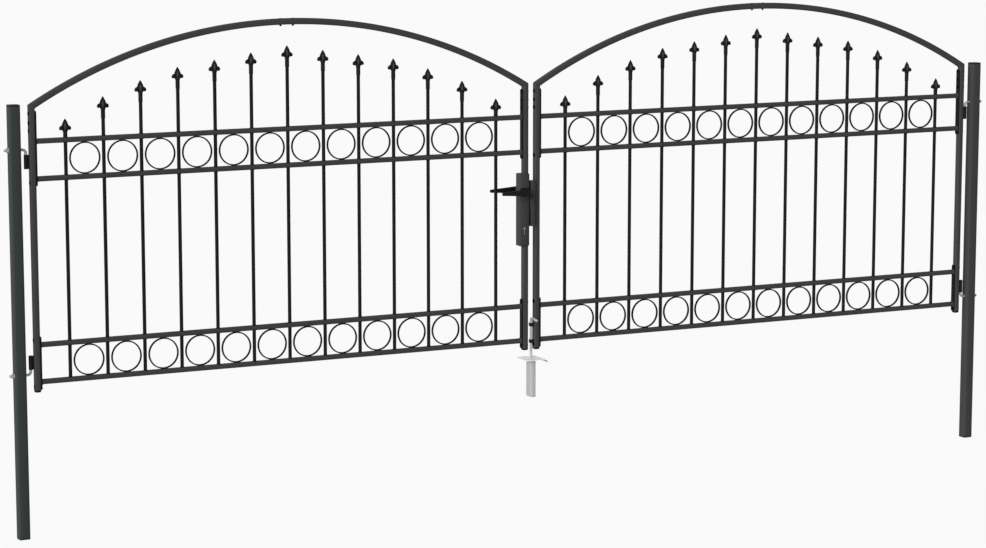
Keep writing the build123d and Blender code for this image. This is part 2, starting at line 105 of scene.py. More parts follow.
camera_data = bpy.data.cameras.new("camera")
camera_data.sensor_width = SENSOR_WIDTH
camera_data.lens = FOCAL_PIXELS * SENSOR_WIDTH / PICTURE_WIDTH
camera_data.clip_end = FAR_CLIP
camera = put_in_scene("camera", camera_data)
camera.location = CAMERA_PLACE
camera.rotation_euler = (math.pi / 2 - TILT_DOWN, 0, -TURN_RIGHT)
scene.camera = camera
scene.view_settings.view_transform = "Standard"
print("lens:", round(camera_data.lens, 2), "mm")

# %% [markdown]
# ## Shader maths that reads like arithmetic
#
# A finish is a tree of shader nodes, and its sums are Math nodes. Wiring each by hand hides the idea, so
# one small class wraps a socket and lets Python's own operators add the Math nodes. Its method `node`
# makes any other node: the settings go in first, because they decide which sockets a node has, and then
# the sockets.

# %% The Wire class
class Wire:
    """One output of a shader tree."""

    def __init__(self, tree, socket=None):
        self.tree = tree
        self.socket = socket

    def node(self, kind, settings=None, sockets=None, output=0):
        made = self.tree.nodes.new(kind)
        for name, value in (settings or {}).items():
            setattr(made, name, value)
        for name, value in (sockets or {}).items():
            if isinstance(value, Wire):
                self.tree.links.new(value.socket, made.inputs[name])
            else:
                made.inputs[name].default_value = value
        return Wire(self.tree, made.outputs[output]) if made.outputs else None

    def maths(self, operation, first, second):
        return self.node("ShaderNodeMath", {"operation": operation}, {0: first, 1: second})

    def __add__(self, other):
        return self.maths("ADD", self, other)

    def __sub__(self, other):
        return self.maths("SUBTRACT", self, other)

    def __rsub__(self, other):
        return self.maths("SUBTRACT", other, self)

    def __mul__(self, other):
        return self.maths("MULTIPLY", self, other)

    __radd__ = __add__
    __rmul__ = __mul__


def grey(level):
    return (level, level, level, 1.0)


print("shader maths ready")

# %% [markdown]
# ## Finishes
#
# Every finish starts in the same way: an empty tree and Object coordinates, in metres, so that a grain of
# one millimetre is one millimetre on a post and on a nut. Noise with a high scale gives the grain, noise
# with a low scale gives the slow drift in shade that a large sprayed part always has.

# %% Start and close a finish
def start_finish(name):
    material = bpy.data.materials.new(name)
    material.use_nodes = True
    material.node_tree.nodes.clear()
    return material, Wire(material.node_tree)


def place_on(tree):
    return tree.node("ShaderNodeTexCoord", output="Object")


def noise(tree, place, scale, detail=2.0, roughness=0.5):
    sockets = {"Vector": place, "Scale": scale, "Detail": detail, "Roughness": roughness}
    return tree.node("ShaderNodeTexNoise", sockets=sockets)


def between(tree, share, low, high):
    sockets = {0: share, 6: low, 7: high}
    return tree.node("ShaderNodeMix", {"data_type": "RGBA"}, sockets, output=2)


def bump(tree, height, depth, strength):
    sockets = {"Height": height, "Distance": depth, "Strength": strength}
    return tree.node("ShaderNodeBump", sockets=sockets)


def close_finish(tree, sockets):
    shader = tree.node("ShaderNodeBsdfPrincipled", sockets=sockets)
    tree.node("ShaderNodeOutputMaterial", sockets={"Surface": shader})


# %% [markdown]
# ### Powder coat
#
# The leaves are blasted, sprayed with dry powder and baked. A powder coat is never quite smooth: it has
# an orange peel of about a millimetre, so the gloss breaks up softly. The frame tubes look anthracite in
# the photograph, the thin infill nearly black, and the left post has a hint of green. One function makes
# them all.

# %% Powder coats
COAT_GRAIN = 700.0
COAT_PEEL = 160.0
COAT_DRIFT = 5.0
COAT_GLOSS = 0.05
PEEL_DEPTH = 0.12 * MM


def powder_coat(name, low, high, gloss=COAT_GLOSS, peel_depth=PEEL_DEPTH):
    material, tree = start_finish(name)
    place = place_on(tree)
    grain = noise(tree, place, COAT_GRAIN, 3.0)
    peel = noise(tree, place, COAT_PEEL, 2.0)
    drift = noise(tree, place, COAT_DRIFT, 4.0)
    share = grain * 0.35 + drift * 0.65
    close_finish(tree, {
        "Base Color": between(tree, share, low, high),
        "Roughness": 0.50 + drift * 0.12 + grain * 0.10,
        "Specular IOR Level": gloss,
        "Normal": bump(tree, grain * 0.4 + peel, peel_depth, 0.30),
    })
    return material


frame_coat = powder_coat("anthracite powder coat", grey(0.044), grey(0.062))
infill_coat = powder_coat("deep black powder coat", grey(0.009), grey(0.015), 0.02, 0.02 * MM)
cast_coat = powder_coat("powder coat on cast iron", grey(0.009), grey(0.019), 0.03, 0.30 * MM)
# The knuckles' coat is a darker copy of the frame coat: painted shade for the gap between post and stile.
shaded_hinge_coat = powder_coat("dark powder coat with painted shade", grey(0.012), grey(0.020), 0.04)
bolt_black = powder_coat("blackened bolts", grey(0.001), grey(0.003), 0.0, 0.05 * MM)
post_coats = {
    "left": powder_coat("green-grey powder coat", (0.037, 0.044, 0.042, 1), (0.048, 0.056, 0.054, 1)),
    "right": powder_coat("grey powder coat", (0.044, 0.046, 0.045, 1), (0.056, 0.058, 0.057, 1)),
}
print("powder coats:", frame_coat.name, infill_coat.name, [coat.name for coat in post_coats.values()])

# %% [markdown]
# ### Moulded plastic
#
# Caps, feet, guides, levers and their plates are moulded in black. The mould is spark eroded, which
# leaves a fine even grain, and the plastic is darker than the coat.

# %% Moulded plastic
PLASTIC_GRAIN = 1400.0
PLASTIC_DRIFT = 30.0
PLASTIC_GRAIN_DEPTH = 0.06 * MM


def moulded_plastic(name, low, high):
    material, tree = start_finish(name)
    place = place_on(tree)
    grain = noise(tree, place, PLASTIC_GRAIN, 1.0)
    drift = noise(tree, place, PLASTIC_DRIFT, 2.0)
    close_finish(tree, {
        "Base Color": between(tree, drift, low, high),
        "Roughness": 0.46 + drift * 0.14,
        "Specular IOR Level": 0.10,
        "Normal": bump(tree, grain, PLASTIC_GRAIN_DEPTH, 0.30),
    })
    return material


black_plastic = moulded_plastic("moulded black plastic", grey(0.004), grey(0.008))
print("plastic:", black_plastic.name)

# %% [markdown]
# ### Galvanised steel
#
# The hinge bolts, the drop bolt and the ground socket are dipped in molten zinc. The zinc freezes in
# crystals, so a galvanised face is a patchwork of flat grey cells. A Voronoi texture gives each cell its
# own random colour, and a little of that goes into shade and roughness. Noise adds the cloudy bloom that
# grows over the crystals.

# %% Galvanised steel
ZINC_SPANGLE = 130.0
ZINC_BLOOM = 38.0
ZINC_GRIT = 900.0


def galvanised(name, low, high, metal, relief):
    material, tree = start_finish(name)
    place = place_on(tree)
    spangle = {"Vector": place, "Scale": ZINC_SPANGLE}
    cell = tree.node("ShaderNodeTexVoronoi", sockets=spangle, output="Color")
    crystal = tree.node("ShaderNodeSeparateColor", sockets={0: cell})
    bloom = noise(tree, place, ZINC_BLOOM, 4.0, 0.6)
    grit = noise(tree, place, ZINC_GRIT, 2.0)
    share = crystal * 0.3 + bloom * 0.7
    close_finish(tree, {
        "Base Color": between(tree, share, low, high),
        "Metallic": metal,
        "Roughness": 0.48 + bloom * 0.20 - crystal * 0.06,
        "Normal": bump(tree, grit * 0.5 + bloom, relief, 0.20),
    })
    return material


# The lighter zinc on the socket's flange is painted light. The darker zinc is weathered zinc on the hinge
# bolts and nuts, and painted shade on the socket's bent tab.
zinc = galvanised("galvanised steel", (0.44, 0.445, 0.45, 1), (0.48, 0.485, 0.49, 1), 0.5, 0.008 * MM)
painted_light_zinc = galvanised("zinc with painted light", (0.76, 0.765, 0.77, 1), (0.80, 0.805, 0.81, 1), 0.6, 0.004 * MM)
weathered_and_shaded_zinc = galvanised("weathered zinc and painted shade", (0.28, 0.283, 0.287, 1), (0.42, 0.425, 0.43, 1), 0.5, 0.03 * MM)
print("zinc:", zinc.name, painted_light_zinc.name, weathered_and_shaded_zinc.name)

# %% [markdown]
# ### Matt nickel
#
# The key cylinder is nickel plated brass. Brushing leaves fine lines, and a Wave texture stretched along
# one direction would show them, but on a face of three pixels noise that is squeezed along one axis is
# enough.

# %% Matt nickel
BRUSH_SQUEEZE = (2600.0, 40.0, 60.0)
TARNISH = 120.0
BRUSH_DEPTH = 0.05 * MM


def matt_nickel(name):
    material, tree = start_finish(name)
    place = place_on(tree)
    squeezed = tree.node("ShaderNodeMapping", sockets={"Vector": place, "Scale": BRUSH_SQUEEZE})
    brush = noise(tree, squeezed, 1.0, 2.0)
    tarnish = noise(tree, place, TARNISH, 3.0)
    close_finish(tree, {
        "Base Color": between(tree, tarnish, (0.17, 0.168, 0.162, 1), (0.27, 0.266, 0.255, 1)),
        "Metallic": 1.0,
        "Roughness": 0.24 + brush * 0.16,
        "Normal": bump(tree, brush, BRUSH_DEPTH, 0.3),
    })
    return material


nickel = matt_nickel("matt nickel")
print("nickel:", nickel.name)

# %% [markdown]
# The CAD model names a material slot for each kind of surface.

# %% [markdown]
# ## Studio
#
# The photograph has a plain white ground. A floor that is simply lit until it is white would also flood
# the gate with light, so the floor's paint is only pale, and rays that come straight from the camera, or
# from a reflection, see a part of it as plain white. The gate's shadow stays on the pale paint. The world
# works in the same way.

# %% Floor
FLOOR_HALF = 200.0
FLOOR_PAINT = 0.45
FLOOR_GLOW = 0.94

floor_shape = bmesh.new()
bmesh.ops.create_grid(floor_shape, x_segments=1, y_segments=1, size=FLOOR_HALF)
bmesh.ops.translate(floor_shape, verts=floor_shape.verts, vec=(0, 0, cad_low.z))
floor_mesh = bpy.data.meshes.new("floor")
floor_shape.to_mesh(floor_mesh)
floor_shape.free()
floor = put_in_scene("floor", floor_mesh)
floor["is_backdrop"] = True


def seen_directly(tree):
    paths = [tree.node("ShaderNodeLightPath", output=name)
             for name in ("Is Camera Ray", "Is Glossy Ray", "Is Transmission Ray")]
    return tree.node("ShaderNodeClamp", sockets={0: paths[0] + paths[1] + paths[2]})


floor_paint, floor_tree = start_finish("pale floor")
painted = floor_tree.node("ShaderNodeBsdfDiffuse", sockets={"Color": grey(FLOOR_PAINT)})
white = floor_tree.node("ShaderNodeEmission", sockets={"Color": grey(1.0), "Strength": 1.0})
mixed = floor_tree.node("ShaderNodeMixShader",
                        sockets={0: seen_directly(floor_tree) * FLOOR_GLOW, 1: painted, 2: white})
floor_tree.node("ShaderNodeOutputMaterial", sockets={"Surface": mixed})
floor_mesh.materials.append(floor_paint)
print("floor at", round(cad_low.z, 4))

# %% [markdown]
# A sun lamp with a wide angle is an even soft light over five metres of gate, which a near area lamp is
# not. The key lamp comes from the left and a little in front, because the left faces of the posts and of
# the ground socket are the brightest in the photograph.

# %% World and lamp
WORLD_LEVEL = 0.16
KEY_LEVEL = 4.0
KEY_FROM = Vector((-0.80, -0.54, 0.26))
KEY_SPREAD = math.radians(50)

world = bpy.data.worlds.new("studio")
scene.world = world
world.use_nodes = True
world.node_tree.nodes.clear()
sky = Wire(world.node_tree)
level = seen_directly(sky) * (1.0 - WORLD_LEVEL) + WORLD_LEVEL
air = sky.node("ShaderNodeBackground", sockets={"Color": grey(1.0), "Strength": level})
sky.node("ShaderNodeOutputWorld", sockets={"Surface": air})

key_data = bpy.data.lights.new("key", "SUN")
key_data.energy = KEY_LEVEL
key_data.angle = KEY_SPREAD
key = put_in_scene("key", key_data)
key.rotation_euler = (-KEY_FROM).to_track_quat("-Z", "Y").to_euler()
print("studio lit")

# %% [markdown]
# ## Small tools for modelling
#
# Each shape is made in a bmesh of its own and then copied into the piece at one or many places. That
# keeps every step local: a bevel on one shape can't touch its neighbours. The first tools make a block,
# find edges and round them.

# %% Block and rounding
X, Y, Z = 0, 1, 2
STRAIGHT = 0.999


def block(low, high):
    shape = bmesh.new()
    bmesh.ops.create_cube(shape, size=1.0)
    low, high = Vector(low), Vector(high)
    bmesh.ops.scale(shape, vec=high - low, verts=shape.verts)
    bmesh.ops.translate(shape, vec=(low + high) / 2, verts=shape.verts)
    return shape


def edges_along(shape, axis):
    return [edge for edge in shape.edges
            if abs((edge.verts[1].co - edge.verts[0].co).normalized()[axis]) > STRAIGHT]


def round_edges(shape, edges, radius, segments=3):
    bmesh.ops.bevel(shape, geom=edges, offset=radius, offset_type="OFFSET", affect="EDGES",
                    segments=segments, profile=0.5, material=-1, clamp_overlap=True)
    return shape


def bar(low, high, axis, corner, segments=3):
    shape = block(low, high)
    return round_edges(shape, edges_along(shape, axis), corner, segments)


def soft_block(low, high, corner, segments=2):
    shape = block(low, high)
    return round_edges(shape, shape.edges[:], corner, segments)


# %% [markdown]
# The next tools turn an outline on a lathe and tidy up after it: points that fall together are merged,
# holes are closed and the faces are made to point outwards. The Screw modifier could turn an outline too,
# but a spin leaves a plain mesh that the next step can go on with.

# %% Lathe
WELD_TOGETHER = 0.002 * MM


def everything(shape):
    return shape.verts[:] + shape.edges[:] + shape.faces[:]


def close_up(shape):
    bmesh.ops.remove_doubles(shape, verts=shape.verts, dist=WELD_TOGETHER)
    open_edges = [edge for edge in shape.edges if edge.is_boundary]
    if open_edges:
        bmesh.ops.holes_fill(shape, edges=open_edges, sides=0)
    bmesh.ops.recalc_face_normals(shape, faces=shape.faces)
    return shape


def spin_round(shape, centre, axis, steps):
    bmesh.ops.spin(shape, geom=everything(shape), cent=centre, axis=axis, angle=2 * math.pi, steps=steps,
                   use_merge=True, use_duplicate=False)
    return close_up(shape)


def turned(outline, foot, axis, steps=24):
    """Turns an outline of (radius, distance from the foot) about an axis."""
    foot, axis = Vector(foot), Vector(axis)
    side = axis.orthogonal().normalized()
    shape = bmesh.new()
    points = [shape.verts.new(foot + side * radius + axis * along) for radius, along in outline]
    for start, end in zip(points, points[1:]):
        shape.edges.new((start, end))
    return spin_round(shape, foot, axis, steps)


# %% [markdown]
# A bent rod is a circle that is drawn out straight, spun round the bend and drawn out again, which is how
# the real one is made: cut a bar, put it in a vice and pull it round a former.

# %% Bent rod
ROD_STEPS = 20
BEND_STEPS = 8
ROD_END_SHARE = 0.25


def standing(place, axis):
    """The matrix that puts a shape at a place, with its Z axis along the given axis."""
    return Matrix.Translation(place) @ axis.to_track_quat("Z", "Y").to_matrix().to_4x4()


def of_kind(geometry, kind):
    return [item for item in geometry if isinstance(item, kind)]


def move_new(shape, grown, way):
    bmesh.ops.translate(shape, vec=way, verts=of_kind(grown, bmesh.types.BMVert))


def draw_out(shape, edges, way):
    grown = bmesh.ops.extrude_edge_only(shape, edges=edges)["geom"]
    move_new(shape, grown, way)
    return [edge for edge in of_kind(grown, bmesh.types.BMEdge) if edge.is_boundary]


def bent_rod(start, corner, end, radius, bend):
    start, corner, end = Vector(start), Vector(corner), Vector(end)
    first, second = (corner - start).normalized(), (end - corner).normalized()
    shape = bmesh.new()
    bmesh.ops.create_circle(shape, segments=ROD_STEPS, radius=radius, matrix=standing(start, first))
    angle = first.angle(second)
    setback = bend * math.tan(angle / 2)
    inside = (second - first * first.dot(second)).normalized()
    rim = draw_out(shape, shape.edges[:], corner - start - first * setback)
    ring_verts = list({vert for edge in rim for vert in edge.verts})
    spun = bmesh.ops.spin(shape, geom=ring_verts + rim, cent=corner - first * setback + inside * bend,
                          axis=first.cross(second), angle=angle, steps=BEND_STEPS, use_duplicate=False)
    draw_out(shape, of_kind(spun["geom_last"], bmesh.types.BMEdge), end - corner - second * setback)
    close_up(shape)
    ends = [edge for face in shape.faces if len(face.verts) > 4 for edge in face.edges]
    return round_edges(shape, ends, radius * ROD_END_SHARE, 2)


# %% [markdown]
# `gather` copies a shape into a piece, and `make_piece` turns the piece into an object with a finish, a
# body to ride on and the CAD nodes that it stands for. `reach` reads a place off a CAD node.

# %% Gather shapes into a piece
SHARP_ANGLE = math.radians(32)


def gather(whole, shape, *places):
    for place in places or (Vector(),):
        copy = bpy.data.meshes.new("copy")
        shape.to_mesh(copy)
        copy.transform(Matrix.Translation(place))
        whole.from_mesh(copy)
        bpy.data.meshes.remove(copy)
    shape.free()


def make_piece(name, whole, finish, body, *stands_for):
    mesh = bpy.data.meshes.new(name)
    whole.to_mesh(mesh)
    whole.free()
    mesh.shade_smooth()
    mesh.set_sharp_from_angle(angle=SHARP_ANGLE)
    mesh.materials.append(finish)
    piece = put_in_scene(name, mesh)
    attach(piece, body)
    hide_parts(*stands_for)
    mesh.calc_loop_triangles()
    print(f"{name}: {len(mesh.loop_triangles)} triangles, rides on {body}")


def reach(node, axis, keep=lambda place: True):
    """Lowest and highest place of a CAD node's points along an axis, of the points that keep passes."""
    along = [vert.co[axis] for vert in nodes[node].data.vertices if keep(vert.co)]
    return min(along), max(along)


# %% [markdown]
# ## Posts and caps
#
# A post is a 50 mm square tube with rounded corners, because tube is rolled and not cut from sheet. A
# plain cube would show hard edges that no tube has. The long edges are bevelled in several segments, and
# the flat caps get a smaller rounding and stand off by a hair, so that a dark line shows where a cap sits
# on its tube.

# %% Posts
POST_CORNER = 8 * MM
CAP_EDGE = 1.6 * MM
CAP_INSET = 0.6 * MM
HAIR = 0.01 * MM


def edges_across(shape, axis):
    return [edge for edge in shape.edges if abs(edge.verts[0].co[axis] - edge.verts[1].co[axis]) < HAIR]


for side, coat in post_coats.items():
    low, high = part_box(side + "_post")
    make_piece(side + "_post_tube", bar(low, high, Z, POST_CORNER, 4), coat, "posts", side + "_post")

caps = bmesh.new()
cap_low, cap_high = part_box("post_caps")
for side in post_coats:
    low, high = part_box(side + "_post")
    for foot, top in ((cap_low.z, low.z), (high.z, cap_high.z)):
        cap = bar((low.x, low.y, foot + CAP_INSET / 2), (high.x, high.y, top - CAP_INSET / 2),
                  Z, POST_CORNER, 4)
        gather(caps, round_edges(cap, edges_across(cap, Z), CAP_EDGE, 2))
make_piece("post_end_caps", caps, black_plastic, "posts", "post_caps")

# %% [markdown]
# ## Hinges
#
# Each leaf hangs on two bolts that go right through the post. Outside, a nut holds the thread, and
# inside, the bolt is bent to a pin: the upper one points down and the lower one up, so that the leaf
# can't be lifted off. The thread is a zigzag outline turned on the lathe. A true helix could be made with
# the Screw modifier, but from more than an arm's length nobody can tell rings from a helix.

# %% Hinge bolts
ROD_RADIUS = 6 * MM
ROD_BEND = 15 * MM
THREAD_PITCH = 1.75 * MM
THREAD_DEPTH = 0.9 * MM
UP = Vector((0, 0, 1))
INWARD = {"left": 1, "right": -1}


def stacked(node, keep=lambda place: True):
    """Foot and top of what a CAD node has above its middle height, and of what it has below."""
    low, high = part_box(node)
    middle = (low.z + high.z) / 2
    return (reach(node, Z, lambda place: keep(place) and place.z > middle),
            reach(node, Z, lambda place: keep(place) and place.z < middle))


bolt_low, bolt_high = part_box("hinge_bolts")
hinge_axis = {side: joints[side + "_leaf_swing"]["pos_m"][X] for side in INWARD}
outer_face = {"left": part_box("left_post")[0].x, "right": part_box("right_post")[1].x}
bolt_tip = {"left": bolt_low.x, "right": bolt_high.x}
upper_bolt, lower_bolt = bolt_high.z - ROD_RADIUS, bolt_low.z + ROD_RADIUS
pin_foot, pin_top = stacked("hinge_bolts")[0]
pin_length = pin_top - pin_foot - ROD_RADIUS


def thread(foot, axis, length):
    outline = [(0, 0), (ROD_RADIUS - THREAD_DEPTH, 0)]
    for number in range(int(length / THREAD_PITCH)):
        outline.append((ROD_RADIUS, (number + 0.5) * THREAD_PITCH))
        outline.append((ROD_RADIUS - THREAD_DEPTH, (number + 1) * THREAD_PITCH))
    outline.append((ROD_RADIUS - 2 * THREAD_DEPTH, length))
    outline.append((0, length))
    return turned(outline, foot, axis, ROD_STEPS)


bolts = bmesh.new()
for side, inward in INWARD.items():
    for height, pin_way in ((upper_bolt, -1), (lower_bolt, 1)):
        root = (outer_face[side], 0, height)
        corner = Vector((hinge_axis[side], 0, height))
        gather(bolts, bent_rod(root, corner, corner + UP * pin_way * pin_length, ROD_RADIUS, ROD_BEND))
        gather(bolts, thread(root, (-inward, 0, 0), abs(bolt_tip[side] - outer_face[side])))
make_piece("bent_hinge_bolts", bolts, weathered_and_shaded_zinc, "posts", "hinge_bolts")

# %% [markdown]
# A nut is a six-sided prism whose corners are turned off at both ends, which leaves a round face with six
# small arcs. The rounded look comes from a bevel of the end edges, and a washer keeps the nut off the
# coat.

# %% Nuts
NUT_FLATS = 19 * MM
NUT_CHAMFER = 1.2 * MM
WASHER_HEIGHT = 2 * MM
WASHER_SHARE = 0.62
WASHER_EDGE_SHARE = 0.3
ACROSS = 0.1


def hexagon(foot, axis, flats, height, chamfer):
    shape = bmesh.new()
    radius = flats / math.sqrt(3)
    bmesh.ops.create_cone(shape, cap_ends=True, segments=6, radius1=radius, radius2=radius, depth=height,
                          matrix=standing(foot + axis * height / 2, axis))
    rims = [edge for edge in shape.edges
            if abs((edge.verts[0].co - edge.verts[1].co).normalized().dot(axis)) < ACROSS]
    return round_edges(shape, rims, chamfer, 2)


def stud_outline(radius, height, edge):
    """The outline of a round disc or stud whose upper edge is turned off."""
    return [(0, 0), (radius, 0), (radius, height - edge), (radius - edge, height), (0, height)]


def washer(foot, axis, radius, height):
    return turned(stud_outline(radius, height, height * WASHER_EDGE_SHARE), foot, axis)


nut_start, nut_end = reach("hinge_nuts", X, lambda place: place.x < hinge_axis["left"])
nut_height = nut_end - nut_start - WASHER_HEIGHT
nuts = bmesh.new()
for side, inward in INWARD.items():
    for height in (upper_bolt, lower_bolt):
        face = Vector((outer_face[side], 0, height))
        out = Vector((-inward, 0, 0))
        gather(nuts, washer(face, out, NUT_FLATS * WASHER_SHARE, WASHER_HEIGHT))
        gather(nuts, hexagon(face + out * WASHER_HEIGHT, out, NUT_FLATS, nut_height, NUT_CHAMFER))
make_piece("hinge_nuts_and_washers", nuts, weathered_and_shaded_zinc, "posts", "hinge_nuts")

# %% [markdown]
# The knuckles ride on the leaves. Each is a short tube, welded to a plate on the stile. The tube is
# turned with rounded mouths, and soft beads along the plate stand for the welds under the coat. A bead is
# a block that is rounded until it is nearly a roll.

# %% Hinge knuckles
KNUCKLE_RADIUS = 9 * MM
KNUCKLE_EDGE = 1.2 * MM
PLATE_HALF = 3 * MM
PLATE_EDGE = 0.8 * MM
PLATE_IN_TUBE = 1 * MM
PLATE_BEAD = 2.2 * MM
PIN_PLAY = 0.3 * MM
BEAD_ROUNDING = 0.9


def bead(low, high, size):
    return soft_block(low, high, size * BEAD_ROUNDING, 3)


bore = ROD_RADIUS + PIN_PLAY
for side, inward in INWARD.items():
    knuckles = bmesh.new()
    stile_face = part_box(side + "_hinge_stile")[0 if inward > 0 else 1].x
    start = hinge_axis[side] + inward * (KNUCKLE_RADIUS - PLATE_IN_TUBE)
    left, right = sorted((start, stile_face))
    for foot, top in stacked(side + "_hinge_knuckles"):
        tall = top - foot
        outline = [(bore, KNUCKLE_EDGE), (bore + KNUCKLE_EDGE / 2, 0),
                   (KNUCKLE_RADIUS - KNUCKLE_EDGE, 0), (KNUCKLE_RADIUS, KNUCKLE_EDGE),
                   (KNUCKLE_RADIUS, tall - KNUCKLE_EDGE), (KNUCKLE_RADIUS - KNUCKLE_EDGE, tall),
                   (bore + KNUCKLE_EDGE / 2, tall), (bore, tall - KNUCKLE_EDGE), (bore, KNUCKLE_EDGE)]
        gather(knuckles, turned(outline, (hinge_axis[side], 0, foot), UP))
        gather(knuckles, soft_block((left, -PLATE_HALF, foot), (right, PLATE_HALF, top), PLATE_EDGE))
        for face in (-PLATE_HALF, PLATE_HALF):
            for seam in (start, stile_face - inward * PLATE_BEAD / 2):
                gather(knuckles, bead((seam - PLATE_BEAD, face - PLATE_BEAD, foot + PLATE_BEAD),
                                      (seam + PLATE_BEAD, face + PLATE_BEAD, top - PLATE_BEAD), PLATE_BEAD))
    # Knuckles and plates get the darker coat, which is painted shade.
    make_piece(side + "_knuckles_and_plates", knuckles, shaded_hinge_coat, side + "_leaf",
               side + "_hinge_knuckles")

# %% [markdown]
# ## Leaf frames
#
# A leaf's frame is two stiles and an arched top of the same 28 mm tube. Arch and stile meet at an angle,
# so both are cut on one slanting plane, a mitre. In Blender the arch is a rounded square that is spun
# about the arch's centre, and `bisect_plane` makes the cut. A curve with a bevel profile could give the
# arch too, but it could not be cut at its ends without becoming a mesh first.

# %% Arch geometry from the CAD boxes
class LeafFrame:
    """Where a leaf's tubes meet, read from its CAD nodes."""

    def __init__(self, side):
        self.body = side + "_leaf"
        self.stiles = {role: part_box(f"{side}_{role}_stile") for role in ("hinge", "meeting")}
        arch_low, arch_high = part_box(side + "_arch_hinge_half")
        hinge_low, hinge_high = self.stiles["hinge"]
        self.left = min(low.x for low, high in self.stiles.values())
        self.right = max(high.x for low, high in self.stiles.values())
        self.tube = hinge_high.x - hinge_low.x
        self.middle = (self.left + self.right) / 2
        self.hinge_side = 1 if hinge_low.x > self.middle else -1
        self.shoulder = hinge_high.z
        self.armpit = arch_low.z
        self.crown = arch_high.z
        half = (self.right - self.left) / 2
        rise = self.crown - self.shoulder
        self.radius = (half * half + rise * rise) / (2 * rise)
        self.centre = Vector((self.middle, 0, self.crown - self.radius))
        self.span = math.asin(half / self.radius)

    def ends(self):
        """The two ends of the leaf by role, as -1 for the left and 1 for the right."""
        return (("hinge", self.hinge_side), ("meeting", -self.hinge_side))

    def mitre(self, x_side):
        """A point on the mitre and the direction from stile to arch, for the left (-1) or right (1) end."""
        outer = self.right if x_side > 0 else self.left
        along = Vector((-x_side * self.tube, 0, self.armpit - self.shoulder)).normalized()
        up = Vector((x_side * along.z, 0, -x_side * along.x))
        return Vector((outer, 0, self.shoulder)), up if up.z > 0 else -up


leaves = {side: LeafFrame(side) for side in INWARD}
print("arch radius:", round(leaves["left"].radius, 4), "m, rise:",
      round(leaves["left"].crown - leaves["left"].shoulder, 4), "m")

# %% Stiles with mitred tops
TUBE_CORNER = 6.5 * MM
MITRE_SPARE = 5 * MM
CUT_TOLERANCE = 0.001 * MM


def cut(shape, point, outward, drop_outer=False):
    bmesh.ops.bisect_plane(shape, geom=everything(shape), dist=CUT_TOLERANCE, plane_co=point,
                           plane_no=outward, clear_outer=drop_outer)


def cut_off(shape, point, outward):
    cut(shape, point, outward, drop_outer=True)
    return close_up(shape)


for side, leaf in leaves.items():
    for role, x_side in leaf.ends():
        low, high = leaf.stiles[role]
        tube = bar(low, (high.x, high.y, leaf.shoulder + MITRE_SPARE), Z, TUBE_CORNER)
        make_piece(f"{side}_{role}_stile_tube", cut_off(tube, *leaf.mitre(x_side)), frame_coat, leaf.body,
                   f"{side}_{role}_stile")

# %% Arch halves
SEAM = 0.4 * MM
ARCH_STEPS = 40
ARCH_SPARE = 1.01
BACK = Vector((0, 1, 0))


def turn(shape, angle, axis):
    bmesh.ops.rotate(shape, verts=shape.verts, cent=(0, 0, 0), matrix=Matrix.Rotation(angle, 3, axis))
    return shape


def rounded_loop(width, depth, corner, keep=lambda place: True):
    """A flat loop of edges round the origin, with the corners that keep passes rounded."""
    loop = bmesh.new()
    bmesh.ops.create_circle(loop, cap_ends=True, segments=4, radius=math.sqrt(0.5))
    turn(loop, math.pi / 4, "Z")
    bmesh.ops.scale(loop, vec=(width, depth, 1), verts=loop.verts)
    corners = [vert for vert in loop.verts if keep(vert.co)]
    bmesh.ops.bevel(loop, geom=corners, offset=corner, offset_type="OFFSET", affect="VERTICES",
                    segments=3, profile=0.5, material=-1)
    bmesh.ops.delete(loop, geom=loop.faces[:], context="FACES_ONLY")
    return loop


def tube_section(side_length, depth, corner, place):
    """A rounded loop round a place, square to the X axis."""
    section = turn(rounded_loop(side_length, depth, corner), math.pi / 2, "Y")
    bmesh.ops.translate(section, verts=section.verts, vec=place)
    return section


def arch_half(leaf, x_side):
    start = leaf.centre + Vector((x_side * SEAM, 0, leaf.radius - leaf.tube / 2))
    half = tube_section(leaf.tube, leaf.tube, TUBE_CORNER, start)
    bmesh.ops.spin(half, geom=everything(half), cent=leaf.centre, axis=BACK,
                   angle=x_side * leaf.span * ARCH_SPARE, steps=ARCH_STEPS, use_duplicate=False)
    point, up = leaf.mitre(x_side)
    return cut_off(half, point, -up)


for side, leaf in leaves.items():
    for role, x_side in leaf.ends():
        make_piece(f"{side}_arch_{role}_side", arch_half(leaf, x_side), frame_coat, leaf.body,
                   f"{side}_arch_{role}_half")

# %% [markdown]
# ## Infill: rails, pickets, rings and spear heads
#
# The infill is one welded panel. Four square rails run across, and thirteen round pickets stand through
# them. The places come from the CAD nodes: the rings sit between the rails, so their boxes give the
# rails' faces, and the spear heads give the pickets' lines and tips.

# %% Where the infill sits
PICKETS = 13
HEAD_WIDTH = 54 * MM
RAIL_SIDE = 23 * MM
RING_SEAT = 0.1 * MM


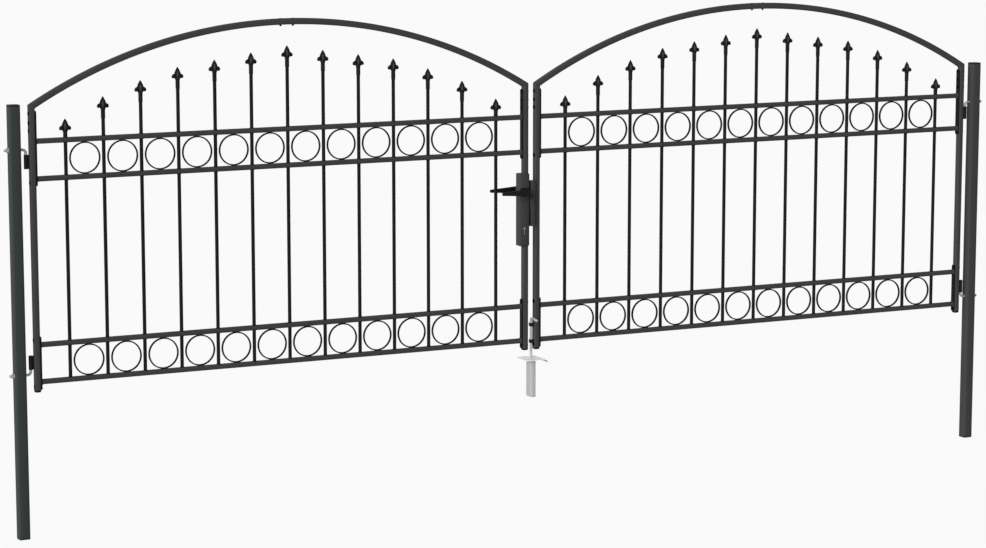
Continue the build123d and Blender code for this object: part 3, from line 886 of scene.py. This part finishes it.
class Infill:
    """Where a leaf's rails, ring bands and pickets are, read from its CAD nodes."""

    def __init__(self, side):
        heads = side + "_spear_heads"
        head_low, head_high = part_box(heads)
        first, last = head_low.x + HEAD_WIDTH / 2, head_high.x - HEAD_WIDTH / 2
        self.pitch = (last - first) / (PICKETS - 1)
        self.lines = [first + self.pitch * number for number in range(PICKETS)]
        self.tips = [reach(heads, Z, lambda place, x=x: abs(place.x - x) < self.pitch / 2)[1]
                     for x in self.lines]
        self.low, self.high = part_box(side + "_panel")
        self.bands, self.rails = {}, []
        for band in ("lower", "upper"):
            low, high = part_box(f"{side}_{band}_rings")
            self.bands[band] = (low.z, high.z)
            self.rails.append((low.z - RING_SEAT - RAIL_SIDE, low.z - RING_SEAT))
            self.rails.append((high.z + RING_SEAT, high.z + RING_SEAT + RAIL_SIDE))

    def on_pickets(self, below_tip=0, aside=0):
        """One place on each picket's line, so far below its tip and so far to the right."""
        return [Vector((x + aside, 0, tip - below_tip)) for x, tip in zip(self.lines, self.tips)]


infills = {side: Infill(side) for side in leaves}
print("picket pitch:", round(infills["left"].pitch * 1000, 2), "mm, rails at",
      [round(low, 4) for low, high in infills["left"].rails])

# %% Rails
RAIL_CORNER = 7 * MM
END_BEAD = 2.0 * MM

for side, infill in infills.items():
    rails = bmesh.new()
    half, proud = RAIL_SIDE / 2, END_BEAD / 2
    for foot, top in infill.rails:
        gather(rails, bar((infill.low.x, -half, foot), (infill.high.x, half, top), X, RAIL_CORNER))
        for end, inward in ((infill.low.x, 1), (infill.high.x, -1)):
            left, right = sorted((end, end + inward * 2 * END_BEAD))
            gather(rails, bead((left, -half - proud, foot - proud),
                               (right, half + proud, top + proud), END_BEAD))
    make_piece(side + "_rails", rails, frame_coat, side + "_leaf", side + "_panel")

# %% [markdown]
# A picket is a lathe part: its outline is straight, with a small flare of weld where it goes through a
# rail. The flare's curve is given as shares of its size, from the plain picket to the rail.

# %% Pickets
PICKET_RADIUS = 8 * MM
PICKET_STEPS = 18
WELD_FLARE = 2.0 * MM
FLARE_CURVE = ((0.0, 2.0), (0.4, 0.7), (1.0, 0.0))
HEAD_HEIGHT = 57 * MM


def picket_outline(rails, foot, tip):
    flare = [(PICKET_RADIUS + out * WELD_FLARE, along * WELD_FLARE) for out, along in FLARE_CURVE]
    outline = [(0, foot), (PICKET_RADIUS, foot)]
    for low, high in rails:
        if low > foot:
            outline += [(radius, low - along) for radius, along in flare]
        outline += [(radius, high + along) for radius, along in reversed(flare)]
    return outline + [(PICKET_RADIUS, tip - HEAD_HEIGHT), (0, tip - HEAD_HEIGHT)]


for side, infill in infills.items():
    pickets = bmesh.new()
    foot = infill.rails[0][0] + RAIL_SIDE / 4
    for x, tip in zip(infill.lines, infill.tips):
        gather(pickets, turned(picket_outline(infill.rails, foot, tip), (x, 0, 0), UP, PICKET_STEPS))
    make_piece(side + "_pickets", pickets, infill_coat, side + "_leaf", side + "_panel")

# %% [markdown]
# A ring is bent from flat bar and tacked to both rails. One small rounded section is spun once all round
# for one ring, and the ring is then copied into its band. The tacks are flattened balls in the corners
# between ring and rail.

# %% Rings
RING_BAR = 6 * MM
RING_BAR_CORNER = 1.2 * MM
RING_STEPS = 56
TACK = Vector((6.5 * MM, 3.4 * MM, 2.0 * MM))


def ellipsoid(halves, around=16, levels=10):
    shape = bmesh.new()
    bmesh.ops.create_uvsphere(shape, u_segments=around, v_segments=levels, radius=1.0)
    bmesh.ops.scale(shape, vec=halves, verts=shape.verts)
    return shape


def ring(across, depth):
    section = tube_section(RING_BAR, depth, RING_BAR_CORNER, (0, 0, across / 2 - RING_BAR / 2))
    return spin_round(section, (0, 0, 0), BACK, RING_STEPS)


for side, infill in infills.items():
    gaps = [(a + b) / 2 for a, b in zip(infill.lines, infill.lines[1:])]
    for band, (low, high) in infill.bands.items():
        node = f"{side}_{band}_rings"
        rings = bmesh.new()
        front, back = reach(node, Y)
        gather(rings, ring(high - low, back - front), *[Vector((x, 0, (low + high) / 2)) for x in gaps])
        gather(rings, ellipsoid(TACK, 10, 6), *[Vector((x, 0, z)) for x in gaps for z in (low, high)])
        make_piece(f"{side}_{band}_ring_band", rings, infill_coat, side + "_leaf", node)

# %% [markdown]
# The spear heads are iron castings. A head has a leaf-shaped blade with a raised rib, two hanging lobes
# at its sides, and a sleeve that slips over the picket. The blade is turned on the lathe together with
# its sleeve and then flattened from front to back, most at the blade and not at all at the sleeve, which
# has to be as round as the picket. A sculpted mesh would be the other way, but a casting this small is
# made of simple turned shapes anyway. The blade's outline is in millimetres, from the tip down.

# %% Spear heads
BLADE_OUTLINE = [(0.0, 0), (2.6, -3.5), (5.0, -7.5), (7.6, -11.5), (10.4, -17.5), (12.8, -22), (14.2, -27),
                 (14.8, -32), (14.6, -38), (14.6, -44), (13.6, -50), (11.6, -55), (9.8, -59)]
BLADE_FLAT_SHARE = 0.46
BLADE_STEPS = 20
BLADE_FOOT = -46 * MM
WAIST = -62 * MM
SLEEVE_RADIUS = 9.5 * MM
SLEEVE_BELOW_TIP = 97 * MM
SLEEVE_EDGE = 1.0 * MM


def spear_blade(sleeve):
    outline = [(radius * MM, along * MM) for radius, along in BLADE_OUTLINE]
    outline += [(SLEEVE_RADIUS, WAIST), (SLEEVE_RADIUS, SLEEVE_EDGE - sleeve),
                (SLEEVE_RADIUS - SLEEVE_EDGE, -sleeve), (0, -sleeve)]
    blade = turned(outline, (0, 0, 0), UP, BLADE_STEPS)
    for vert in blade.verts:
        share = min(1.0, max(0.0, (BLADE_FOOT - vert.co.z) / (BLADE_FOOT - WAIST)))
        vert.co.y *= BLADE_FLAT_SHARE + (1 - BLADE_FLAT_SHARE) * share
    return close_up(blade)


for side, infill in infills.items():
    blades = bmesh.new()
    for place in infill.on_pickets():
        sleeve = min(SLEEVE_BELOW_TIP, place.z - infill.rails[-1][1])
        gather(blades, spear_blade(sleeve), place)
    make_piece(side + "_cast_heads", blades, cast_coat, side + "_leaf", side + "_spear_heads")

# %% [markdown]
# Rib and lobes could be sculpted on the blade. A stretched ball that is partly sunk in it gives the same
# swelling with far fewer faces. The rib gets the frame's lighter coat, a painted highlight down the
# middle of the blade, and the lobes are tilted outwards and down.

# %% Ribs on the blades
RIB_HALVES = Vector((7.0 * MM, 9.4 * MM, 20.0 * MM))
RIB_BELOW_TIP = 36 * MM

for side, infill in infills.items():
    painted_highlight_ribs = bmesh.new()
    gather(painted_highlight_ribs, ellipsoid(RIB_HALVES), *infill.on_pickets(RIB_BELOW_TIP))
    # The rib's lighter coat is a painted highlight on the cast head.
    make_piece(side + "_head_ribs_painted_highlight", painted_highlight_ribs, frame_coat, side + "_leaf", side + "_spear_heads")

# %% Lobes beside the blades
LOBE_HALVES = Vector((13.0 * MM, 7.8 * MM, 9.6 * MM))
LOBE_SLANT = math.radians(35)
LOBE_OFFSET = 15.5 * MM
LOBE_BELOW_TIP = 41 * MM

for side, infill in infills.items():
    lobes = bmesh.new()
    for x_side in (-1, 1):
        lobe = turn(ellipsoid(LOBE_HALVES), x_side * LOBE_SLANT, "Y")
        gather(lobes, lobe, *infill.on_pickets(LOBE_BELOW_TIP, x_side * LOBE_OFFSET))
    make_piece(side + "_head_lobes", lobes, infill_coat, side + "_leaf", side + "_spear_heads")

# %% [markdown]
# ## Strips, bolts and feet
#
# The infill panel ends in flat bars, and bolts go through bar and stile. A flat bar with clipped corners
# is a block whose four short edges are rounded. The bolts have flat domed heads on the stile's outer face
# and low cap nuts on the bar, and the stiles stand on rounded plastic feet.

# %% Flat bars and through bolts
STRIP_CORNER = 9 * MM
STRIP_NEAR = 20 * MM
HEAD_RADIUS = 11.5 * MM
HEAD_RISE = 1.4 * MM
HEAD_SUNK = 0.5 * MM
DOME_CURVE = ((1.0, 0.0), (0.94, 0.42), (0.74, 0.76), (0.4, 0.95), (0.0, 1.0))
DOME_STEPS = 18
CAP_NUT_RADIUS = 7.5 * MM
CAP_NUT_RISE = 2.0 * MM
SHOULDER_BOLT_DROPS = (38 * MM, 78 * MM, 113 * MM)
STRIP_BOLT_INSET = 15 * MM


def domed_head(foot, axis, radius, rise):
    outline = [(0, 0)] + [(radius * out, rise * up) for out, up in DOME_CURVE]
    return turned(outline, foot, axis, DOME_STEPS)


for side, leaf in leaves.items():
    node = side + "_end_strips"
    strips, fixings = bmesh.new(), bmesh.new()
    low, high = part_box(node)
    for inward, end, stile_outer in ((1, low.x, leaf.left), (-1, high.x, leaf.right)):
        near = lambda place, end=end: abs(place.x - end) < STRIP_NEAR
        left, right = reach(node, X, near)
        bar_face = right if inward > 0 else left
        upper, lower = stacked(node, near)
        for foot, top in (upper, lower):
            gather(strips, bar((left, low.y, foot), (right, high.y, top), X, STRIP_CORNER, 5))
            heights = [foot + STRIP_BOLT_INSET, top - STRIP_BOLT_INSET]
            if (foot, top) == upper:
                heights[1:] = [leaf.shoulder - drop for drop in SHOULDER_BOLT_DROPS]
            for height in heights:
                head_foot = (stile_outer + inward * HEAD_SUNK, 0, height)
                gather(fixings, domed_head(head_foot, (-inward, 0, 0), HEAD_RADIUS, HEAD_RISE))
                if height < top - CAP_NUT_RADIUS:
                    nut_foot = (bar_face, 0, height)
                    gather(fixings, domed_head(nut_foot, (inward, 0, 0), CAP_NUT_RADIUS, CAP_NUT_RISE))
    make_piece(side + "_flat_bars", strips, infill_coat, leaf.body, node)
    make_piece(side + "_stile_bolts", fixings, bolt_black, leaf.body, node)

# %% Stile feet
FOOT_EDGE = 7 * MM


def edges_at(shape, axis, place):
    return [edge for edge in shape.edges if all(abs(vert.co[axis] - place) < HAIR for vert in edge.verts)]


for side, leaf in leaves.items():
    feet = bmesh.new()
    cap_low, cap_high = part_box(side + "_stile_caps")
    for low, high in leaf.stiles.values():
        foot = bar((low.x, low.y, cap_low.z), (high.x, high.y, cap_high.z), Z, TUBE_CORNER)
        gather(feet, round_edges(foot, edges_at(foot, Z, cap_low.z), FOOT_EDGE, 4))
    make_piece(side + "_stile_feet", feet, black_plastic, leaf.body, side + "_stile_caps")

# %% [markdown]
# ## Crown bolts
#
# The two halves of an arch meet in a seam at the crown. Two upright bolts beside it hold what joins them
# inside. Their heads lie on the arch, and nuts with the bolts' tips stand out below it.

# %% Crown bolts
CROWN_BOLT_OFFSET = 30 * MM
CROWN_HEAD_RADIUS = 6 * MM
CROWN_HEAD_RISE = 1.8 * MM
CROWN_HEAD_SUNK = 0.2 * MM
SMALL_NUT_FLATS = 10 * MM
SMALL_NUT_HEIGHT = 5 * MM
SMALL_NUT_CHAMFER = 0.6 * MM
STUB_RADIUS = 3 * MM
STUB_LENGTH = 7 * MM
STUB_EDGE = 1 * MM
STUB_STEPS = 12

stub = stud_outline(STUB_RADIUS, STUB_LENGTH, STUB_EDGE)
for side, leaf in leaves.items():
    crown = bmesh.new()
    for offset in (-CROWN_BOLT_OFFSET, CROWN_BOLT_OFFSET):
        tilt = Vector((offset, 0, math.sqrt(leaf.radius ** 2 - offset ** 2))).normalized()
        top = leaf.centre + tilt * (leaf.radius - CROWN_HEAD_SUNK)
        under = leaf.centre + tilt * (leaf.radius - leaf.tube)
        gather(crown, domed_head(top, tilt, CROWN_HEAD_RADIUS, CROWN_HEAD_RISE))
        gather(crown, hexagon(under, -tilt, SMALL_NUT_FLATS, SMALL_NUT_HEIGHT, SMALL_NUT_CHAMFER))
        gather(crown, turned(stub, under, -tilt, STUB_STEPS))
    make_piece(side + "_crown_bolts", crown, bolt_black, leaf.body,
               side + "_arch_hinge_half", side + "_arch_meeting_half")

# %% [markdown]
# ## Lock
#
# The lock is a plain steel case that is set round the left leaf's meeting stile, with a lever on both
# faces and a key cylinder low down. The case gets a small rounding all round and a lid seam on each face,
# so it doesn't look like a plain block. Its end is flush with the stile in the CAD model. Two faces in
# one plane flicker in a render, so the sheet of the case stands a little over the stile here.

# %% Lock case
CASE_EDGE = 4 * MM
LID_MARGIN = 5 * MM
LID_PROUD = 0.8 * MM
LID_EDGE = 0.7 * MM
CASE_OVER_STILE = 0.6 * MM
SET_IN = 1 * MM


def between_faces(face, out, proud):
    """Start and end along Y of something that is set into a face and stands proud of it."""
    return sorted((face - out * SET_IN, face + out * proud))


case_low, case_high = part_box("lock_case")
case_high.x += CASE_OVER_STILE
case = bmesh.new()
gather(case, soft_block(case_low, case_high, CASE_EDGE, 3))
case_faces = ((case_low.y, -1), (case_high.y, 1))
for face, out in case_faces:
    front, back = between_faces(face, out, LID_PROUD)
    gather(case, soft_block((case_low.x + LID_MARGIN, front, case_low.z + LID_MARGIN),
                            (case_high.x - LID_MARGIN, back, case_high.z - LID_MARGIN), LID_EDGE))
make_piece("lock_case_and_lids", case, frame_coat, "left_leaf", "lock_case")

# %% [markdown]
# The key cylinder has the usual pear-shaped section: a round plug above a narrow body. It sits in a
# coated rosette. The plug is turned, the body is a block below it, and the key slot is a thin dark strip
# of painted shade on the face of both, where a cut slot would be dark. A slot cut into the metal would be
# truer, but at this size only its dark line shows.

# %% Key cylinder and rosettes
PLUG_RADIUS = 6.5 * MM
PLUG_EDGE = 0.6 * MM
STEM_HALF = 3.8 * MM
STEM_EDGE = 1.0 * MM
STEM_BACK = 0.3 * MM
SLOT_HALF = 1.8 * MM
SLOT_SHIFT = 1.4 * MM
SLOT_PROUD = 0.15 * MM
SLOT_EDGE = 0.1 * MM
SLOT_FOOT = 2 * MM
SLOT_ABOVE_PLUG = 4 * MM
ROSETTE_MARGIN = 6 * MM
ROSETTE_RISE = 1.6 * MM
ROSETTE_CORNER = 12 * MM

key_low, key_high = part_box("lock_cylinder")
key_x = (key_low.x + key_high.x) / 2
slot_x = key_x + SLOT_SHIFT
plug_z = key_high.z - PLUG_RADIUS
key_parts, rosettes, slot_shade_strips = bmesh.new(), bmesh.new(), bmesh.new()
for (face, out), tip in zip(case_faces, (key_low.y, key_high.y)):
    proud = abs(tip - face)
    length = proud + SET_IN
    outline = stud_outline(PLUG_RADIUS, length, PLUG_EDGE)
    gather(key_parts, turned(outline, (key_x, face - out * SET_IN, plug_z), (0, out, 0)))
    front, back = between_faces(face, out, proud - STEM_BACK)
    gather(key_parts, soft_block((key_x - STEM_HALF, front, key_low.z), (key_x + STEM_HALF, back, plug_z),
                                 STEM_EDGE))
    front, back = between_faces(face, out, ROSETTE_RISE)
    gather(rosettes, bar((key_low.x - ROSETTE_MARGIN, front, key_low.z - ROSETTE_MARGIN),
                         (key_high.x + ROSETTE_MARGIN, back, key_high.z + ROSETTE_MARGIN),
                         Y, ROSETTE_CORNER, 6))
    # The slot is a proud dark strip: painted shade where a cut slot would be dark.
    front, back = between_faces(tip, out, SLOT_PROUD)
    gather(slot_shade_strips, soft_block((slot_x - SLOT_HALF, front, key_low.z + SLOT_FOOT),
                             (slot_x + SLOT_HALF, back, plug_z + SLOT_ABOVE_PLUG), SLOT_EDGE, 1))
make_piece("key_cylinder", key_parts, nickel, "left_leaf", "lock_cylinder")
make_piece("key_rosettes", rosettes, frame_coat, "left_leaf", "lock_cylinder")
make_piece("key_slot_painted_shade", slot_shade_strips, black_plastic, "left_leaf", "lock_cylinder")

# %% [markdown]
# The levers are mirror images on one square spindle. Each turns on an oblong plate as wide as the case. A
# turned neck stands off the plate and carries a broad handle with full round edges that tapers towards
# its tip.

# %% Handle plates
HANDLE_PLATE_MARGIN = 1 * MM
HANDLE_PLATE_CORNER = 8 * MM
HANDLE_PLATE_EDGE = 2 * MM

rose_low, rose_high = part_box("lever_roses")
plates = bmesh.new()
for (face, out), outer in zip(case_faces, (rose_low.y, rose_high.y)):
    front, back = between_faces(face, out, abs(outer - face))
    plate = bar((case_low.x + HANDLE_PLATE_MARGIN, front, rose_low.z),
                (case_high.x - HANDLE_PLATE_MARGIN, back, rose_high.z), Y, HANDLE_PLATE_CORNER, 5)
    gather(plates, round_edges(plate, edges_at(plate, Y, outer), HANDLE_PLATE_EDGE))
make_piece("handle_plates", plates, black_plastic, "left_leaf", "lever_roses")

# %% Levers
NECK_RADIUS = 11 * MM
NECK_WAIST = 8.5 * MM
NECK_EDGE = 0.6 * MM
NECK_FLARE = 0.8 * MM
NECK_IN_GRIP = 3 * MM
NECK_SHARES = (0.18, 0.42, 0.70)
GRIP_EDGE = 4.6 * MM
GRIP_HUB_HEIGHT = 35 * MM
GRIP_TIP_HEIGHT = 14 * MM
GRIP_HUB_CORNER = 12 * MM
GRIP_TIP_CORNER = 5.5 * MM

spindle_x, _, spindle_z = joints["lever_turn"]["pos_m"]
for side, out in (("front", -1), ("back", 1)):
    low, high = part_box(side + "_lever")
    middle = (low.x + high.x) / 2
    start = low.y if out > 0 else high.y
    front, back = reach(side + "_lever", Y, lambda place: place.x < middle)
    neck = abs((front if out > 0 else back) - start) + NECK_IN_GRIP
    lever = bmesh.new()
    belly, waist, throat = (neck * share for share in NECK_SHARES)
    outline = [(0, 0), (NECK_RADIUS - NECK_EDGE, 0), (NECK_RADIUS, NECK_FLARE),
               (NECK_RADIUS - NECK_FLARE, belly), (NECK_WAIST, waist), (NECK_WAIST, throat),
               (NECK_WAIST + NECK_FLARE, neck), (0, neck)]
    gather(lever, turned(outline, (spindle_x, start, spindle_z), (0, out, 0)))
    grip = block((low.x, front, spindle_z - GRIP_HUB_HEIGHT / 2),
                 (high.x, back, spindle_z + GRIP_HUB_HEIGHT / 2))
    for vert in grip.verts:
        if vert.co.x < middle:
            vert.co.z = spindle_z + (vert.co.z - spindle_z) * GRIP_TIP_HEIGHT / GRIP_HUB_HEIGHT
    for at_tip, corner in ((False, GRIP_HUB_CORNER), (True, GRIP_TIP_CORNER)):
        ends = [edge for edge in edges_along(grip, Y) if (edge.verts[0].co.x < middle) == at_tip]
        round_edges(grip, ends, corner, 4)
    gather(lever, round_edges(grip, edges_across(grip, Y), GRIP_EDGE))
    make_piece(side + "_lever_handle", lever, black_plastic, "lever", side + "_lever")

# %% [markdown]
# ## Drop bolt
#
# The right leaf is held by a rod that drops into the ground socket. Its top is bent to a handle. Two dark
# guides with rounded corners carry it on the meeting stile.

# %% Drop bolt
DROP_BEND = 14 * MM

drop_low, drop_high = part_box("drop_bolt")
drop_x = (drop_low.x + drop_high.x) / 2
drop_radius = (drop_high.x - drop_low.x) / 2
grip_foot, grip_top = reach("drop_bolt", Z, lambda place: place.y < drop_low.y + 2 * drop_radius)
corner = (drop_x, 0, drop_high.z - drop_radius)
grip_end = (drop_x, drop_low.y, (grip_foot + grip_top) / 2)
make_piece("bent_drop_bolt", bent_rod((drop_x, 0, drop_low.z), corner, grip_end, drop_radius, DROP_BEND),
           zinc, "drop_bolt", "drop_bolt")

# %% [markdown]
# A guide is a moulded block with a bore for the rod. Its outline is a rounded loop, the bore is a circle,
# and `bridge_loops` makes the flat ring between the two, which is then drawn up to a block.

# %% Guides
GUIDE_WALL = 1.5 * MM
GUIDE_CORNER = 4 * MM
GUIDE_EDGE = 1.2 * MM
ROD_PLAY = 0.3 * MM
BORE_STEPS = 24
CORNER_ANGLE = 0.5


def join_loops(outer, inner, inner_place=(0, 0, 0)):
    gather(outer, inner, Vector(inner_place))
    bmesh.ops.bridge_loops(outer, edges=outer.edges[:])
    return outer


def pull(shape, faces, way):
    """Draw faces of a closed shape out or in. The faces they started from would stay inside, so they go."""
    grown = bmesh.ops.extrude_face_region(shape, geom=faces)["geom"]
    bmesh.ops.delete(shape, geom=faces, context="FACES_ONLY")
    move_new(shape, grown, way)


def draw_up(flat, height):
    grown = bmesh.ops.extrude_face_region(flat, geom=flat.faces[:])["geom"]
    move_new(flat, grown, UP * height)
    return close_up(flat)


def rod_bore():
    loop = bmesh.new()
    bmesh.ops.create_circle(loop, segments=BORE_STEPS, radius=drop_radius + ROD_PLAY)
    return loop


def level_rims(shape):
    """The edges that lie level and have a corner, at the ends of a drawn up shape."""
    return [edge for edge in edges_across(shape, Z) if edge.calc_face_angle(0) > CORNER_ANGLE]


guides = bmesh.new()
guide_low, guide_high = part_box("drop_bolt_guides")
guide_left = drop_low.x - GUIDE_WALL
guide_x = (guide_left + guide_high.x) / 2
for foot, top in stacked("drop_bolt_guides"):
    outline = rounded_loop(guide_high.x - guide_left, guide_high.y - guide_low.y, GUIDE_CORNER)
    guide = draw_up(join_loops(outline, rod_bore(), (drop_x - guide_x, 0, 0)), top - foot)
    gather(guides, round_edges(guide, level_rims(guide), GUIDE_EDGE, 2), Vector((guide_x, 0, foot)))
make_piece("rod_guides", guides, black_plastic, "right_leaf", "drop_bolt_guides")

# %% [markdown]
# ## Ground socket
#
# The socket is a piece of rectangular tube that is set in the ground, welded under a flange whose right
# end is bent down. Tube and flange are drawn up from loops like the guides. The bend is made by a spin of
# the flange's end face, and a soft bead of weld runs round the tube under the flange. The flange gets a
# lighter zinc, which is painted light on its top, and the bent tab a darker zinc, which is painted shade,
# so the tab is cut off at the end of the bend and becomes a piece with a finish of its own.

# %% Socket tube and flange
SOCKET_WALL = 2 * MM
SOCKET_CORNER = 2.2 * MM
FLANGE_THICK = 4 * MM
FLANGE_LEFT = 47 * MM
FLANGE_RIGHT = 45 * MM
FLANGE_CORNER = 3 * MM
TAB_BEND = 7 * MM
TAB_TURN = math.radians(43)
TAB_STEPS = 6
TAB_RUN = 15 * MM
WELD_SIDE = 3.5 * MM
WELD_SUNK = 0.5 * MM
WELD_ROUNDING = 0.8
FACING = 0.9

socket_low, socket_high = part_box("ground_socket")
flange_under = socket_high.z - FLANGE_THICK
at_foot = lambda place: place.z < socket_low.z + FLANGE_THICK
tube_left, tube_right = reach("ground_socket", X, at_foot)
tube_front, tube_back = reach("ground_socket", Y, at_foot)
tube_wide, tube_deep = tube_right - tube_left, tube_back - tube_front


def round_socket(out):
    """The loop of the socket tube's section, drawn out or in by a distance."""
    return rounded_loop(tube_wide + 2 * out, tube_deep + 2 * out, SOCKET_CORNER + out)


socket = bmesh.new()
tube = draw_up(join_loops(round_socket(0), round_socket(-SOCKET_WALL)), flange_under - socket_low.z)
gather(socket, tube, Vector((drop_x, 0, socket_low.z)))
weld = draw_up(join_loops(round_socket(WELD_SIDE), round_socket(-WELD_SUNK)), WELD_SIDE)
lower_rim = [edge for edge in level_rims(weld)
             if abs(edge.verts[0].co.z) < HAIR and abs(edge.verts[0].co.x) > tube_wide / 2]
gather(socket, round_edges(weld, lower_rim, WELD_SIDE * WELD_ROUNDING),
       Vector((drop_x, 0, flange_under - WELD_SIDE)))
make_piece("socket_tube", socket, zinc, "posts", "ground_socket")

flange_end = (FLANGE_LEFT + FLANGE_RIGHT) / 2
flange_x = drop_x + (FLANGE_RIGHT - FLANGE_LEFT) / 2
outline = rounded_loop(2 * flange_end, socket_high.y - socket_low.y, FLANGE_CORNER,
                       lambda place: place.x < 0)
flange = draw_up(join_loops(outline, rod_bore(), (drop_x - flange_x, 0, 0)), FLANGE_THICK)
end_face = [face for face in flange.faces
            if face.normal.x > FACING and face.calc_center_median().x > flange_end - HAIR]
spun = bmesh.ops.spin(flange, geom=end_face, cent=(flange_end, 0, -TAB_BEND), axis=BACK, angle=TAB_TURN,
                      steps=TAB_STEPS, use_duplicate=False)
bmesh.ops.delete(flange, geom=end_face, context="FACES_ONLY")
along_tab = Vector((math.cos(TAB_TURN), 0, -math.sin(TAB_TURN)))
pull(flange, of_kind(spun["geom_last"], bmesh.types.BMFace), along_tab * TAB_RUN)
close_up(flange)
tab = flange.copy()
bend_end = (flange_end + TAB_BEND * math.sin(TAB_TURN), 0, TAB_BEND * (math.cos(TAB_TURN) - 1))
# The flange takes the zinc with painted light, and the tab takes the zinc with painted shade.
for name, part, outward, finish in (("socket_flange_painted_light", flange, along_tab, painted_light_zinc),
                                    ("socket_tab_painted_shade", tab, -along_tab, weathered_and_shaded_zinc)):
    placed = bmesh.new()
    gather(placed, cut_off(part, bend_end, outward), Vector((flange_x, 0, flange_under)))
    make_piece(name, placed, finish, "posts", "ground_socket")

# %% [markdown]
# ## Lock keeper
#
# The keeper on the right leaf catches the latch above and the dead bolt below. It is a shallow steel box
# with two pockets that open towards the lock. A block is cut at two levels, and then the upper and lower
# field of its face are inset and pushed in, which leaves the walls and the bridge between the pockets.

# %% Keeper with two pockets
KEEPER_REACH = 25 * MM
KEEPER_WALL = 3 * MM
KEEPER_BRIDGE = 60 * MM
KEEPER_EDGE = 1.6 * MM

keeper_low, keeper_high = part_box("lock_keeper")
keeper_low.x = keeper_high.x - KEEPER_REACH
keeper_z = (keeper_low.z + keeper_high.z) / 2
keeper = block(keeper_low, keeper_high)
for height in (keeper_z - KEEPER_BRIDGE / 2, keeper_z + KEEPER_BRIDGE / 2):
    cut(keeper, (0, 0, height), UP)
mouths = [face for face in keeper.faces
          if face.normal.x < -FACING and abs(face.calc_center_median().z - keeper_z) > KEEPER_BRIDGE / 2]
bmesh.ops.inset_individual(keeper, faces=mouths, thickness=KEEPER_WALL, use_even_offset=True)
pull(keeper, mouths, (KEEPER_REACH - KEEPER_WALL, 0, 0))
close_up(keeper)


def on_box_edge(edge):
    middle = (edge.verts[0].co + edge.verts[1].co) / 2
    touching = [min(abs(middle[axis] - keeper_low[axis]), abs(middle[axis] - keeper_high[axis])) < HAIR
                for axis in (X, Y, Z)]
    return sum(touching) == 2


round_edges(keeper, [edge for edge in keeper.edges if on_box_edge(edge)], KEEPER_EDGE, 2)
make_piece("keeper_box", keeper, frame_coat, "right_leaf", "lock_keeper")

# %% [markdown]
# ## Spindle
#
# The square spindle inside the lock already has the right shape in the CAD model, so it stays and only
# gets a finish.

# %% Finish for the CAD node that stays
spindle_finishes = nodes["lever_spindle"].data.materials
spindle_finishes.clear()
spindle_finishes.append(zinc)
print("lever_spindle keeps its CAD shape, with", zinc.name)

# %% Size of the visual model
low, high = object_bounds()
print("visual box:", [round(side, 3) for side in high - low], "m")
